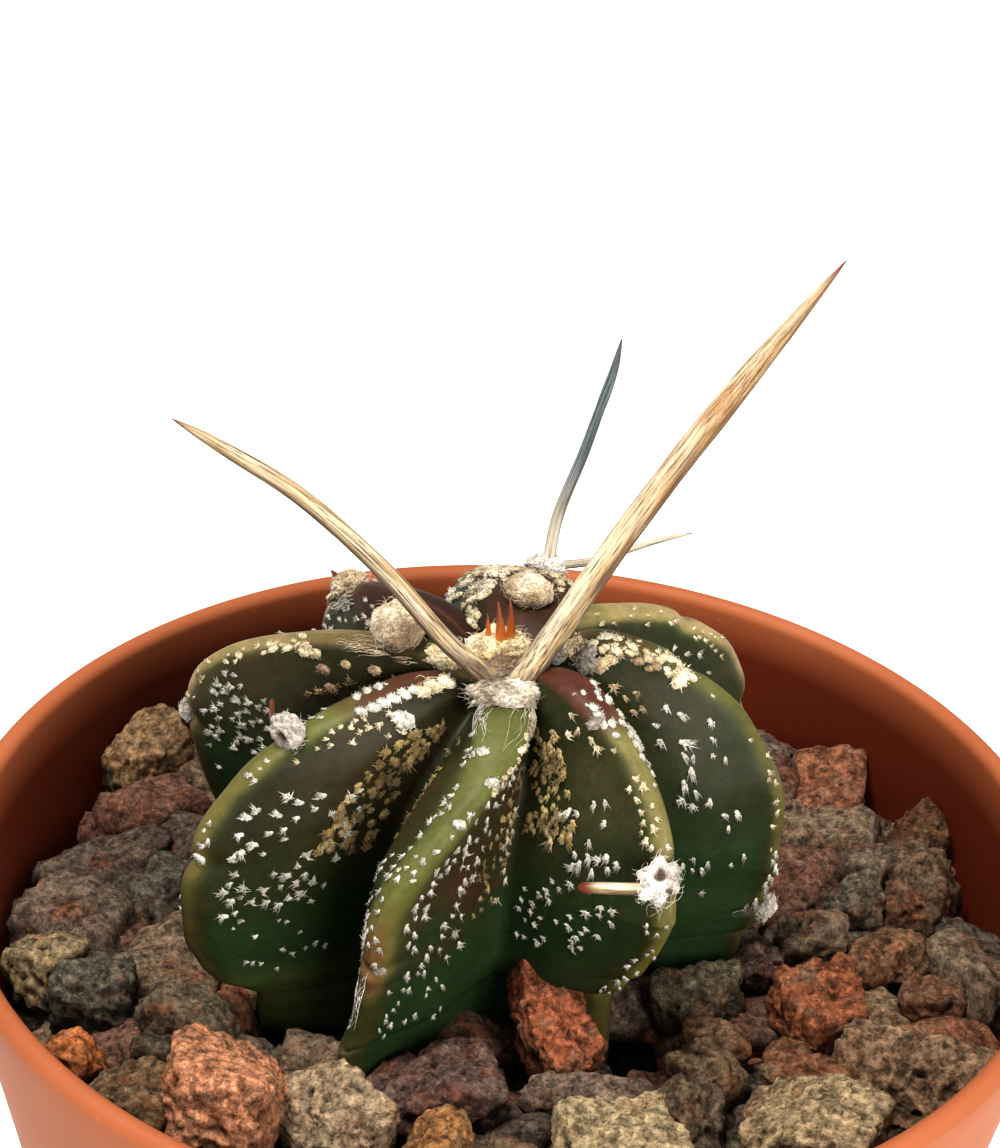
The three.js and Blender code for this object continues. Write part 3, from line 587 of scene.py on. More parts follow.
def makeStem():
    upper = [2.0 * (step / stem["rowsUpper"]) ** 1.08 for step in range(stem["rowsUpper"] + 1)]
    heights = upper + [2 + (step + 1) / stem["rowsLower"] for step in range(stem["rowsLower"])]
    roots = [(6.5, -11), (5.4, -14), (4, -17), (2.8, -22), (1.6, stem["soilFootZ"] - stem["rootLength"])]
    columns = ribCount * 2 * (len(flankSteps) - 1)
    rows = len(heights) + len(roots)
    bm = bmesh.new()
    layers = {name: bm.verts.layers.float.new(name) for name in skinMasks}

    def rootPlace(column, row):  # below the foot, round and tapering
        radius, z = roots[min(row - len(heights), len(roots) - 1)]
        foot = stemPoint(*stemColumn(column), 3) - Vector((stem["x"], stem["y"], 0))
        if row == rows:
            return place(stem["x"], stem["y"], z - 0.8)
        angle = math.atan2(foot.y, foot.x)
        return place(stem["x"] + radius * math.cos(angle), stem["y"] + radius * math.sin(angle), z)

    def skin(vert, column, row):
        if row >= len(heights):
            return rootPlace(column, row)
        t = heights[row]
        index, side, s = stemColumn(column)
        name = ribNames[index]
        rough = 0.5 + noise.noise(Vector((t * 9, s * 4, index + side * 0.3)))
        point = stemPoint(index, side, s, t)
        below = (1 - s) * (stemPoint(index, side, 1, t) - stemPoint(index, side, 0, t)).length  # the crest
        wide = edgeReach.get(name, 0.7)
        # on D and E no crest colours by the crown, which stays dark as painted shade
        late = smoothStep(t, 0.35, 0.6) if name in ("D", "E") else 1  # dark by the crown
        fade = 1 - 0.6 * smoothStep(t, 1.3, 1.9)
        if name == "B":
            fade = 1 - 0.8 * smoothStep(t, 0.75, 1.1)
        if name == "A":  # its pale band narrows to a line that is brown low down
            fade = 0.85 + 0.4 * smoothStep(t, 0.55, 1.0) - 1.1 * smoothStep(t, 1.06, 1.22)
        tone = dict.fromkeys(skinMasks, 0.0)
        tone["crest"] = ((1 - smoothStep(below, 0.3 * wide, wide + 0.3 * rough)) * smoothStep(t, 0.05, 0.25)
                         * fade * (0.6 + 0.35 * rough) * crestGlow.get(name, 1) * late)
        tone["pale"] = ((1 - smoothStep(below, 0.3, 2.2 * wide)) * 0.5 * (0.3 + rough)
                        * (1 - smoothStep(t, 0.9, 1.5)) * late)
        start, end, strength = bareSkin.get(name, (0, 0.01, 0))
        # on D the red-brown runs far down the flanks: partly bare skin, partly painted shade of the furrows
        # by the crown
        band = (3, 6) if name == "D" else (0.4, 1.1)
        tone["bare"] = ((1 - smoothStep(below, *band)) * smoothStep(t, start - 0.05, start + 0.02)
                        * (1 - smoothStep(t, end - 0.06 + 0.08 * rough, end + 0.08)) * strength)
        # painted shade: dark brown over the upper faces, and over D and E by the crown
        dark, begin, stop, under = paintedSkinShade.get(name, (0, 0, 1, 0))
        tone["paintedSkinShade"] = dark * (1 - smoothStep(t, begin, stop)) * smoothStep(below, under * 0.5, under + 0.01)
        edge = 1 - smoothStep(below, 0.1, 0.8)
        tone["brown"] = (edge * brownEdge[name] * (0.5 + rough) * smoothStep(t, 0.3, 0.8)
                         * (1 - smoothStep(t, 1.3, 1.55)))
        tone["cork"] = ((1 - smoothStep(below, 0.2, 1.3 * wide)) * corkEdge.get(name, 0) * (0.4 + 0.7 * rough)
                        * late * smoothStep(t, 0.1, 0.25) * (1 - smoothStep(t, 0.8, 1.2)))
        tone["low"] = smoothStep(t, 0.75, 1.2) * smoothStep(below, 0.6, 1.6) * 0.9
        if name == "B":  # its foot catches the light
            tone["pale"] = max(tone["pale"], 0.45 * smoothStep(t, 1.35, 1.6))
        if name == "A":
            tone["pale"] = max(tone["pale"], tone["crest"] * (1 - smoothStep(t, 0.3, 0.8)) * 0.8)
            tone["brown"] = edge * smoothStep(t, 0.8, 1.0) * (1 - smoothStep(t, 1.15, 1.35)) * 0.9
            if side > 0:
                tone["flush"] = smoothStep(below, 0.5, 1.2) * (1 - smoothStep(t, 0.9, 1.4)) * 0.7 * rough
        for key, value in tone.items():
            vert[layers[key]] = value
        return place(*point)

    rolled(bm, columns, rows, skin)
    makePiece("stem_skin", bm, cactusSkin(), ["stem"], "stem")


makeStem()
print("stem")


def skinFrame(index, side, s, t):
    here = stemPoint(index, side, s, t)
    alongS = stemPoint(index, side, min(s + 0.015, 1), t) - stemPoint(index, side, max(s - 0.015, 0), t)
    alongT = stemPoint(index, side, s, t + 0.01) - stemPoint(index, side, s, t - 0.01)
    normal = (alongS.cross(alongT) * side).normalized()
    return here, normal, alongS.normalized(), alongT.normalized()


# Hair flecks: tufts of felt, each a small core with fine hairs drawn out of it

# rib and side, and its fields: s from and to, t from and to, how many, size, which hair, and how the hairs
# lie: out along the flank, down it, hanging long, or lumped in a rope
fleckFields = [
    ("B", 1, [
        (0.12, 0.44, 0.32, 0.86, 66, 1.5, "gold", "out"),
        (0.14, 0.42, 0.32, 0.84, 60, 0.7, "gold", "rope"),
        (0.45, 0.82, 0.27, 0.42, 11, 1, "cream", "out"),
        (0.28, 0.86, 0.6, 1.04, 50, 1.2, "white", "out"),
        (0.3, 0.85, 1.02, 1.5, 15, 0.7, "white", "out"),
        (0.84, 0.93, 0.3, 0.5, 8, 0.9, "cream", "out"),
        (0.8, 0.93, 0.1, 0.17, 8, 1.1, "cream", "rope"),
    ]),
    ("B", -1, [
        (0.93, 1, 0.2, 0.42, 10, 0.9, "white", "down"),
    ]),
    ("B", 1, [
        (0.95, 1, 0.5, 0.85, 8, 0.8, "white", "down"),
    ]),
    ("B", -1, [
        (0.3, 0.8, 0.3, 1.4, 60, 0.9, "white", "out"),
        (0.1, 0.34, 0.4, 0.9, 40, 1, "gold", "out"),
        (0.93, 1, 0.85, 1.6, 12, 0.8, "white", "down"),
    ]),
    ("A", -1, [
        (0.8, 0.96, 0.2, 0.62, 15, 0.9, "white", "down"),
        (0.86, 0.99, 0.62, 1.05, 22, 0.95, "white", "down"),
        (0.35, 0.86, 0.72, 1.25, 34, 0.75, "white", "down"),
        (0.35, 0.9, 1.25, 1.75, 12, 0.7, "white", "down"),
        (0.06, 0.3, 0.35, 0.9, 24, 0.9, "gold", "out"),
    ]),
    ("A", 1, [
        (0.84, 0.94, 0.18, 0.42, 12, 0.9, "cream", "down"),
        (0.6, 0.88, 0.42, 0.6, 12, 0.8, "white", "down"),
        (0.4, 0.86, 0.62, 1.2, 44, 1, "white", "down"),
        (0.5, 0.9, 1.2, 1.75, 22, 0.8, "white", "down"),
        (0.02, 0.3, 0.46, 1.1, 46, 0.95, "gold", "down"),
        (0, 0.08, 0.62, 1.1, 40, 0.95, "cream", "down"),
        (0.86, 0.92, 0.19, 0.46, 16, 0.8, "cream", "rope"),
        (0.97, 1, 0.5, 1.05, 9, 0.9, "white", "down"),
    ]),
    ("I", -1, [
        (0.08, 0.5, 0.34, 0.78, 54, 1.5, "gold", "down"),
        (0.1, 0.46, 0.34, 0.76, 50, 0.7, "gold", "rope"),
        (0.45, 0.74, 0.6, 0.86, 17, 1.1, "white", "hang"),
        (0.1, 0.72, 0.88, 1.35, 34, 0.95, "white", "out"),
        (0.6, 0.84, 0.28, 0.42, 6, 1.2, "cream", "hang"),
        (0.9, 1, 0.4, 0.76, 18, 1, "cream", "down"),
    ]),
    ("I", 1, [
        (0.93, 1, 0.22, 0.56, 20, 0.72, "white", "rope"),
    ]),
    ("I", -1, [
        (0.95, 1, 0.2, 0.4, 9, 0.72, "white", "rope"),
    ]),
    ("I", 1, [
        (0.3, 0.8, 0.3, 1.4, 46, 0.9, "white", "down"),
    ]),
    ("I", -1, [
        (0.9, 1, 1, 1.8, 18, 0.8, "white", "down"),
    ]),
    ("H", -1, [
        (0.3, 0.6, 0.32, 0.46, 11, 1.1, "tan", "hang"),
        (0.4, 0.8, 0.46, 0.92, 19, 1.1, "white", "hang"),
        (0.4, 0.8, 0.95, 1.35, 10, 0.95, "white", "hang"),
        (0.9, 1, 0.14, 0.44, 30, 0.82, "cream", "rope"),
        (0.8, 0.9, 0.16, 0.36, 10, 0.8, "tan", "rope"),
        (0.93, 1, 0.5, 1.1, 10, 0.8, "cream", "down"),
        (0.94, 1, 1.12, 1.52, 14, 1, "white", "down"),
    ]),
    ("H", 1, [
        (0.3, 0.85, 0.3, 1.4, 50, 0.9, "white", "down"),
        (0.1, 0.34, 0.4, 0.9, 30, 0.9, "gold", "out"),
    ]),
    ("G", -1, [
        (0.86, 1, 0.15, 0.7, 22, 0.7, "cream", "down"),
        (0.25, 0.8, 0.5, 1.4, 40, 0.9, "white", "out"),
    ]),
    ("G", 1, [
        (0.25, 0.9, 0.25, 1.4, 60, 0.9, "white", "out"),
    ]),
    ("E", -1, [
        (0.2, 0.95, 0.2, 1.4, 70, 0.95, "white", "down"),
    ]),
    ("E", 1, [
        (0.45, 0.95, 0.15, 0.75, 24, 1.1, "cream", "rope"),
        (0.9, 1, 0.2, 0.6, 22, 1, "cream", "rope"),
    ]),
    ("E", -1, [
        (0.9, 1, 0.26, 0.6, 16, 1, "cream", "rope"),
    ]),
    ("E", 1, [
        (0.2, 0.95, 0.6, 1.4, 50, 0.95, "white", "down"),
    ]),
    ("D", -1, [
        (0.2, 0.95, 0.2, 1.4, 60, 0.9, "white", "out"),
    ]),
    ("D", 1, [
        (0.3, 0.95, 0.2, 1.4, 60, 0.9, "white", "out"),
    ]),
    ("C", 1, [
        (0.48, 0.88, 0.7, 1.06, 50, 1.1, "white", "out"),
        (0.3, 0.88, 1.05, 1.4, 12, 0.8, "white", "out"),
        (0.92, 1, 0.38, 0.62, 14, 0.7, "cream", "rope"),
        (0.9, 1, 0.6, 0.98, 10, 0.7, "cream", "down"),
        (0.15, 0.5, 0.3, 0.6, 16, 1, "gold", "out"),
    ]),
    ("C", -1, [
        (0.25, 0.95, 0.3, 1.4, 60, 0.9, "white", "out"),
    ]),
]
# Single lumps of felt: rib, side and hair, with each one's s, t and size
feltLumps = [
    ("B", 1, "white", [(0.95, 0.285, 1), (0.93, 0.262, 1.1), (0.93, 0.239, 1.1), (0.93, 0.216, 1.1),
        (0.93, 0.193, 1.1), (0.93, 0.17, 1), (0.6, 0.29, 1.9)]),
    ("B", 1, "cream", [(0.875, 0.142, 1.3), (0.775, 0.118, 1.3)]),
    ("B", -1, "white", [(0.99, 0.265, 0.9), (0.98, 0.24, 0.9), (0.99, 0.216, 0.9)]),
    ("B", 1, "white", [(0.99, 0.855, 1.1)]),
    ("C", 1, "cream", [(0.875, 0.412, 1.1), (0.85, 0.387, 1.1)]),
    ("C", 1, "tan", [(0.65, 0.436, 1.1), (0.45, 0.51, 1.1), (0.65, 0.363, 0.9), (0.525, 0.314, 1.1)]),
    ("H", -1, "grey", [(0.825, 0.118, 2)]),
    ("H", -1, "tan", [(0.9, 0.142, 1.8)]),
    ("H", -1, "grey", [(0.75, 0.191, 2.1), (0.65, 0.216, 1.8)]),
    ("H", -1, "tan", [(0.7, 0.245, 1.6)]),
    ("H", -1, "cream", [(0.95, 0.42, 1.9)]),
    ("A", 1, "white", [(0.99, 0.55, 1), (0.98, 0.42, 1.1)]),
    ("A", -1, "white", [(0.97, 0.33, 1)]),
    ("E", 1, "white", [(0.7, 0.657, 1.4)]),
    ("E", 1, "cream", [(0.675, 0.387, 1.6), (0.875, 0.191, 1.5)]),
    ("D", -1, "cream", [(0.8, 0.118, 1.3)]),
    ("A", 1, "grey", [(0.98, 1.09, 1)]),
    ("I", -1, "grey", [(0.93, 0.34, 1.4)]),
    ("E", 1, "cream", [(0.95, 0.34, 1.5), (0.99, 0.42, 1.5)]),
    ("E", -1, "cream", [(0.98, 0.52, 1.6), (0.97, 0.44, 1.4)]),
    ("E", 1, "cream", [(0.92, 0.38, 1.5), (0.97, 0.5, 1.5)]),
]
hairLooks = {
    "white": plantHair("white_felt_hair", "#A9A598", "#CBC7BB", "#E8E4DB"),
    "cream": plantHair("cream_felt_hair", "#AC9C7C", "#D4C4A2", "#EFE4CC"),
    "gold": plantHair("golden_felt_hair", "#604E2A", "#937C4A", "#C2AC78"),
    "tan": plantHair("tan_felt_hair", "#86705A", "#A8906F", "#CBB795"),
    "grey": plantHair("grey_felt_hair", "#645C55", "#8B8178", "#AFA59A"),
}
# Each kind of fleck: half sizes of the core, hairs, how wide they fan out, shortest, longest, lobes
fleckKinds = {
    "tuft": ((0.20, 0.13, 0.07), 24, 2.6, 0.16, 0.42, 4),
    "star": ((0.17, 0.14, 0.07), 24, 4.6, 0.16, 0.40, 5),
    "comb": ((0.18, 0.13, 0.07), 22, 1.3, 0.26, 0.72, 3),
    "oval": ((0.40, 0.25, 0.17), 60, 6.2, 0.07, 0.22, 30),
}
kindsFor = {"out": ("tuft", "tuft", "star"), "down": ("tuft", "tuft", "star"),
            "hang": ("comb", "tuft", "star"), "rope": ("oval", "oval", "star")}

# Areole wool: rib, along the crest, half sizes, lean and lift, seed, look, how much painted shade darkens its
# underside, and where it is hollow
woolPads = {
    "wool_front": ("A", 0.12, (1.6, 2.35, 1.15), 0.15, 0.15, 61, "grey", 0, None),
    "wool_left_ball": ("C", 0.17, (1.7, 1.7, 1.65), 0, 0.9, 62, "tan", 0.9, None),
    "wool_back_ball": ("E", 0.17, (1.3, 1.55, 1.15), 0, 0.5, 63, "tan", 1, None),
    "wool_back": ("E", 0.46, (1.1, 1.4, 0.8), -0.9, 0.2, 64, "white", 0.3, None),
    "wool_far": ("D", 0.66, (1.6, 1.5, 0.9), 0, 0.2, 65, "tan", 0.6, (0.5, 0.8, 0.4)),
    "wool_left": ("B", 0.43, (1.0, 0.9, 1.4), 0, 0.45, 66, "white", 0.4, (0.9, 0.5, 0.2)),
    "wool_left_low": ("C", 1.05, (0.8, 0.6, 0.6), 0, 0.1, 67, "white", 0, None),
    "wool_right": ("I", 0.84, (1.35, 1.5, 0.5), -0.9, 0.12, 68, "white", 0, (-0.6, 0.0, 0.8)),
    "wool_right_low": ("H", 1.56, (1.1, 0.7, 0.7), 0, 0.1, 69, "white", 0, None),
}
feltedSeeds = (62, 63)  # the two balls, felted round and flat on top
ringSeed = 68
# Wool with no body of its own in the solid model: place, half sizes, seed and look
loosePads = {
    "crown_side_wool": ((-4.1, -0.2, 12.5), (1.3, 1.2, 1.0), 71, "cream"),
    "crown_front_wool": ((-0.9, -1.9, 12.4), (1.6, 1.2, 1.4), 72, "felt"),
}
# Loose hairs drawn down over the skin: rib, side, s, t from and to, how many, how far off the skin, look
drapes = [
    ("A", -1, 0.86, 0.14, 0.31, 18, 0.16, "white"),
    ("A", 1, 0.90, 0.14, 0.33, 20, 0.16, "grey"),
    ("A", -1, 0.985, 1.10, 1.60, 22, 0.02, "white"),
    ("C", 1, 0.92, 0.20, 0.31, 26, 0.10, "tan"),
    ("C", 1, 0.72, 0.16, 0.22, 12, 0.12, "tan"),
    ("B", 1, 0.90, 0.10, 0.17, 14, 0.15, "cream"),
    ("D", 1, 0.90, 0.52, 0.80, 24, 0.2, "white"),
    ("D", -1, 0.90, 0.52, 0.80, 18, 0.2, "white"),
    ("E", 1, 0.80, 0.20, 0.60, 26, 0.15, "grey"),
    ("B", 1, 0.97, 0.40, 0.48, 8, 0.08, "white"),
    ("I", -1, 0.98, 0.84, 0.99, 8, 0.15, "white"),
    ("H", -1, 0.98, 1.45, 1.60, 6, 0.04, "white"),
]


def fleckShape(seed, kind):
    core, hairs, spread, short, long, count = fleckKinds[kind]
    draw = randomFrom(seed)
    bm = bmesh.new()
    bmesh.ops.create_icosphere(bm, subdivisions=2 if kind == "oval" else 1, radius=1,
                               matrix=Matrix.Diagonal((core[0] * mm, core[1] * mm, core[2] * mm, 1)))
    for vert in bm.verts:
        vert.co *= 0.88 + 0.24 * draw() if kind == "oval" else 0.7 + 0.6 * draw()
    lobes = [(draw() - 0.5) * spread for lobe in range(count)]
    for hair in range(hairs):
        turn = lobes[int(draw() * len(lobes))] + (draw() - 0.5) * 0.7
        length = mix(short, long, draw() ** 2) * mm
        lift = 0.9 * draw() ** 1.5
        spot = Vector((core[0] * math.cos(turn) * draw(), core[1] * (draw() - 0.5) * 2,
                       core[2] * draw())) * mm
        tilt = Matrix.Rotation(turn, 4, "Z") @ Matrix.Rotation(math.pi / 2 - lift, 4, "Y")
        bmesh.ops.create_cone(bm, cap_ends=False, segments=3, radius1=0.036 * mm, radius2=0, depth=length,
                              matrix=Matrix.Translation(spot) @ tilt @ Matrix.Translation((0, 0, length / 2)))
    mesh = bpy.data.meshes.new("fleck")
    bm.to_mesh(mesh)
    bm.free()
    return mesh


def makeFlecks():
    draw = randomFrom(77)
    shapes = {kind: [fleckShape(300 + i, kind) for i in range(5)] for kind in fleckKinds}
    bodies = {name: bmesh.new() for name in hairLooks}
    woolSpots = [(stemPlace(*crestAt(ribs[rib], t)), max(sizes))
                 for rib, t, sizes, *rest in woolPads.values()]

    def stamp(look, kind, here, normal, ahead, turn, scale, pick):
        across = normal.cross(ahead).normalized()
        axes = Matrix([across.cross(normal).normalized(), across, normal]).transposed().to_4x4()
        stand = Matrix.Translation(place(*here)) @ axes
        stand = stand @ Matrix.Rotation(turn, 4, "Z") @ Matrix.Scale(scale, 4)
        shape = shapes[kind][int(pick * 5)]
        shape.transform(stand)
        bodies[look].from_mesh(shape)
        shape.transform(stand.inverted())

    total = 0
    fields = [(rib, side, *field) for rib, side, group in fleckFields for field in group]
    for rib, side, sLow, sHigh, tLow, tHigh, count, size, look, aim in fields:
        index = ribNames.index(rib)
        put = []
        for attempt in range(count * 6):
            if len(put) >= count:
                break
            s = mix(sLow, sHigh, draw())
            t = mix(tLow, tHigh, draw())
            keep, turn, grow, pick, flip = draw(), draw(), draw(), draw(), draw()
            crowd = noise.noise(Vector((s * 7, t * 9, index * 4.3 + side)))
            if keep > 0.55 + 1.4 * crowd and aim != "rope":
                continue
            here, normal, alongS, alongT = skinFrame(index, side, s, t)
            if any((here - spot).length < reach * 0.9 for spot, reach in woolSpots):
                continue
            if any((here - other).length < (0.5 if aim != "rope" else 0.4) * size for other in put):
                continue
            put.append(here)
            ahead = alongS if aim == "out" else alongT
            kind = kindsFor[aim][int(flip * 3)]
            stamp(look, kind, here, normal, ahead, (turn - 0.5) * 1.5, size * (0.7 + 0.6 * grow), pick)
        total += len(put)
    for rib, side, look, members in feltLumps:
        for s, t, size in members:
            here, normal, alongS, alongT = skinFrame(ribNames.index(rib), side, s, t)
            stamp(look, "oval", here, normal, alongS, (draw() - 0.5) * 0.6, size, draw())
    for look, bm in bodies.items():
        makePiece(look + "_flecks", bm, hairLooks[look], slot="stem")
    print("hair flecks", total)


makeFlecks()

# Wool

woolLooks = {
    "grey": ("grey_wool", plantHair("matted_grey_wool", "#80705F", "#B5A897", "#E0D9CC", 500)),
    "tan": ("tan_wool", plantHair("matted_tan_wool", "#A48C70", "#D4C0A2", "#F2E6D0", 600)),
    "white": ("white_wool", plantHair("loose_white_wool", "#9F968C", "#CDC6BD", "#EEEAE4", 500)),
    "cream": ("crown_wool", plantHair("cream_crown_wool", "#D2B888", "#F4E3C0", "#FFF6E2", 450)),
    "felt": ("crown_wool", plantHair("worn_crown_felt", "#8A7258", "#B8A187", "#DFCFB6", 450)),
}


def crestFrame(rib, t, lean, lift):
    here = stemPlace(*crestAt(ribs[rib], t))
    radius, z, bearing = crestAt(ribs[rib], t)
    before, after = crestAt(ribs[rib], t - 0.02), crestAt(ribs[rib], t + 0.02)
    slope = math.atan2(before[1] - after[1], after[0] - before[0])
    turn = Quaternion((0, 0, 1), math.radians(bearing)) @ Quaternion((0, 1, 0), slope)
    return here + turn @ Vector((0, lean, lift)), turn


def strands(name, curls, radius, material, slot):
    data = bpy.data.curves.new(name, "CURVE")
    data.dimensions = "3D"
    data.bevel_depth = radius * mm
    data.bevel_resolution = 0
    for curl in curls:
        spline = data.splines.new("POLY")
        spline.points.add(len(curl) - 1)
        for i, (point, spot) in enumerate(zip(spline.points, curl)):
            point.co = (*place(*spot), 1)
            point.radius = 1 - 0.8 * (i / (len(curl) - 1)) ** 2
    tool = bpy.data.objects.new(name, data)
    mesh = bpy.data.meshes.new_from_object(tool)
    mesh.name = name
    bpy.data.objects.remove(tool)
    return ownPiece(name, mesh, material, slot=slot)


def jitter(draw, amount):
    return Vector((draw() - 0.5, draw() - 0.5, draw() - 0.5)) * amount


def sized(spot, sizes):
    return Vector([spot[i] * sizes[i] for i in range(3)])


# How far a pad's skin lies from its middle, lumpy and sunk in its hollow
def padSwell(out, seed, hollow):
    even = seed in (*feltedSeeds, ringSeed)
    swell = 0.88 - (0.14 * smoothStep(out.z, 0.5, 1.0) if seed in feltedSeeds else 0)
    swell += (0.1 if even else 0.2) * noise.fractal(out * 2.4 + Vector((seed, 0, 0)), 0.7, 2.0, 4)
    if seed == ringSeed:  # six lobes
        swell += 0.15 * (1 - out.z ** 2) * math.cos(6 * math.atan2(out.y, out.x) + 1) - 0.04
    deep = 0
    if hollow:
        deep = 1 - smoothStep((out - Vector(hollow).normalized()).length, 0.3, 0.8)
    return swell * (1 - 0.75 * deep), deep


def woolCurls(draw, centre, turn, sizes, count, length, stray, seed, hollow):
    curls = []
    while len(curls) < count:
        height = 1 - 1.6 * draw()
        flat = math.sqrt(max(0, 1 - height * height))
        angle = math.tau * draw()
        out = Vector((flat * math.cos(angle), flat * math.sin(angle), height))
        swell, deep = padSwell(out, seed, hollow)
        if deep > 0.2 and draw() < 0.95:
            continue
        along = jitter(draw, 1).cross(out).normalized()
        spot = out * swell * (0.9 + 0.12 * draw())
        loose = draw() < stray
        bend = jitter(draw, 2.2)
        step = length * (0.5 + 0.9 * draw()) / 6 / max(sizes)
        curl = []
        for i in range(7):
            curl.append(centre + turn @ sized(spot, sizes))
            if padSwell((spot + along * step).normalized(), seed, hollow)[1] > 0.25:
                along = -along  # turned back at the hollow
            spot = spot + along * step
            ceiling = padSwell(spot.normalized(), seed, hollow)[0] * 1.03 + (0.32 * i / 6 if loose else 0)
            if spot.length > ceiling:
                spot *= ceiling / spot.length
            along = (along + bend * 0.4 + jitter(draw, 0.9) + (out * 0.25 if loose else out * 0)).normalized()
        curls.append(curl)
    return curls


# Threads wound round a hollow pad
def woundCurls(draw, centre, turn, sizes, count):
    curls = []
    for i in range(count):
        start, reach, height = draw() * math.tau, 0.7 + 0.25 * draw(), 0.2 + 0.5 * draw()
        arc, lean = 1.0 + 1.8 * draw(), jitter(draw, 0.6)
        curl = []
        for step in range(9):
            angle = start + arc * step / 8
            wander = 1 + 0.2 * math.sin(angle * 3.4 + start * 7)
            curl.append(centre + turn @ sized(Vector((
                math.cos(angle) * reach * wander, math.sin(angle) * reach * wander,
                height + lean.x * math.sin(angle) + lean.y * math.cos(angle))), sizes))
        curls.append(curl)
    return curls


def drapeCurls(draw, rib, side, s, tFrom, tTo, count, off):
    curls = []
    for i in range(count):
        start = clamp(s + (draw() - 0.5) * 0.2, 0, 0.999)
        t = mix(tFrom, tTo, 0.55 * draw() ** 2)
        length = (tTo - t) * (0.35 + 0.65 * draw())
        drift, rise, phase = (draw() - 0.5) * 0.14, off * (0.3 + draw()), draw() * 6
        curl = []
        for step in range(8):
            u = step / 7
            across = clamp(start + drift * u + 0.012 * math.sin(phase + u * 9), 0, 0.999)
            here, normal, alongS, alongT = skinFrame(ribNames.index(rib), side, across, t + length * u)
            curl.append(here + normal * (0.03 + rise * math.sin(math.pi * u) ** 0.7))
        curls.append(curl)
    return curls


def woolCore(name, seed, centre, turn, sizes, material, slot, replaced, under, hollow):
    bm = bmesh.new()
    bmesh.ops.create_icosphere(bm, subdivisions=5, radius=1)
    paintedWoolShade = bm.verts.layers.float.new("paintedWoolShade")
    for vert in bm.verts:
        out = vert.co.normalized()
        swell, deep = padSwell(out, seed, hollow)
        swell += 0.05 * noise.fractal(out * 9 + Vector((seed, 0, 0)), 0.7, 2.0, 3)
        world = turn @ sized(out, sizes)
        # painted shade: darker towards the underside and in the hollow
        shaded = under * smoothStep(-world.z / sizes[2], -0.05, 0.5)
        vert[paintedWoolShade] = max(shaded, 0.95 * smoothStep(deep, 0.2, 0.7))
        vert.co = place(*(centre + turn @ sized(out * swell, sizes)))
    return makePiece(name, bm, material, replaced, slot)


def makeWool():
    upright = Quaternion((1, 0, 0, 0))
    beds = {name: (*crestFrame(rib, t, lean, lift), sizes, seed, look, under, hollow, [name])
            for name, (rib, t, sizes, lean, lift, seed, look, under, hollow) in woolPads.items()}
    beds["crown_wool"] = (Vector((-1.2, -0.1, 12.8)), upright, (2.0, 1.9, 1.45), 21, "cream", 0, None,
                          ["crown_wool"])
    for name, (spot, sizes, seed, look) in loosePads.items():
        beds[name] = (Vector(spot), upright, sizes, seed, look, 0, None, [])
    hairs = {look: [] for look in woolLooks}
    for name, (centre, turn, sizes, seed, look, under, hollow, replaced) in beds.items():
        slot, material = woolLooks[look]
        woolCore(name + "_core", seed, centre, turn, sizes, material, slot, replaced, under, hollow)
        draw = randomFrom(seed + 900)
        count = int(140 + 170 * sizes[0] * sizes[1])
        hairs[look] += woolCurls(draw, centre, turn, sizes, count, 1.3 + 0.5 * max(sizes), 0.16, seed, hollow)
    centre, turn, sizes = beds["wool_right"][:3]
    hairs["white"] += woundCurls(randomFrom(31), centre, turn, sizes, 5)
    for i, (rib, side, s, tFrom, tTo, count, off, look) in enumerate(drapes):
        hairs[look] += drapeCurls(randomFrom(400 + i), rib, side, s, tFrom, tTo, count, off)
    for look, curls in hairs.items():
        strands(look + "_wool_hair", curls, 0.019, woolLooks[look][1], woolLooks[look][0])
    print("wool", sum(len(curls) for curls in hairs.values()), "hairs")


makeWool()

# Spines, measured from the rim plane

horns = {
    "left": ([(-1.0, -3.9, 12.8), (-2.2, -3.4, 13.65), (-4.35, -2.6, 15.25), (-7.7, -1.3, 18.45),
              (-12.2, 0.1, 21.85), (-16.5, 0.8, 24.25), (-19.6, 1.1, 25.9)], 0.6, 0.47),
    "right": ([(-0.6, -3.9, 12.8), (0.4, -3.4, 13.7), (2.1, -2.2, 16.1), (5.35, -0.1, 20.9),
               (9.4, 2.4, 26.3), (12.35, 4, 30.1), (16.5, 6.3, 35.1)], 0.78, 0.66),
    "back": ([(1.3, 10.7, 12.2), (1.8, 12.4, 15), (3.1, 14.1, 18.3), (4, 15.4, 20.9),
              (4.6, 16.3, 22.7), (5, 17.1, 24.6)], 0.36, 0.28),
    "thin": ([(1.2, 10.8, 12.3), (3.9, 11, 12.7), (5.8, 11.2, 13.4), (7.8, 11.5, 14.1),
              (9.9, 11.8, 14.6)], 0.26, 0.18),
    "woolTip": ([(-13.26, -6.79, 12.2), (-13.26, -6.79, 13.3)], 0.16, 0.13),
    "farTip": ([(-10.4, 9.88, 10.2), (-11.0, 9.88, 11.1), (-11.5, 9.88, 11.8)], 0.22, 0.16),
    "stub": ([(8.55, -14.0, 7.5), (7.0, -14.65, 7.8), (5.3, -15.1, 8.07), (3.6, -15.5, 8.3)], 0.38, 0.38),
}
youngHorns = [
    ([(-1.8, -0.3, 13.2), (-1.85, -0.3, 14.4), (-1.95, -0.25, 15.5)], 0.24),
    ([(-1.1, -0.45, 13.2), (-1.2, -0.45, 14.9), (-1.4, -0.4, 16.4)], 0.4),
    ([(-0.6, 0.1, 13.2), (-0.62, 0.15, 14.8), (-0.75, 0.2, 16.3)], 0.34),
]


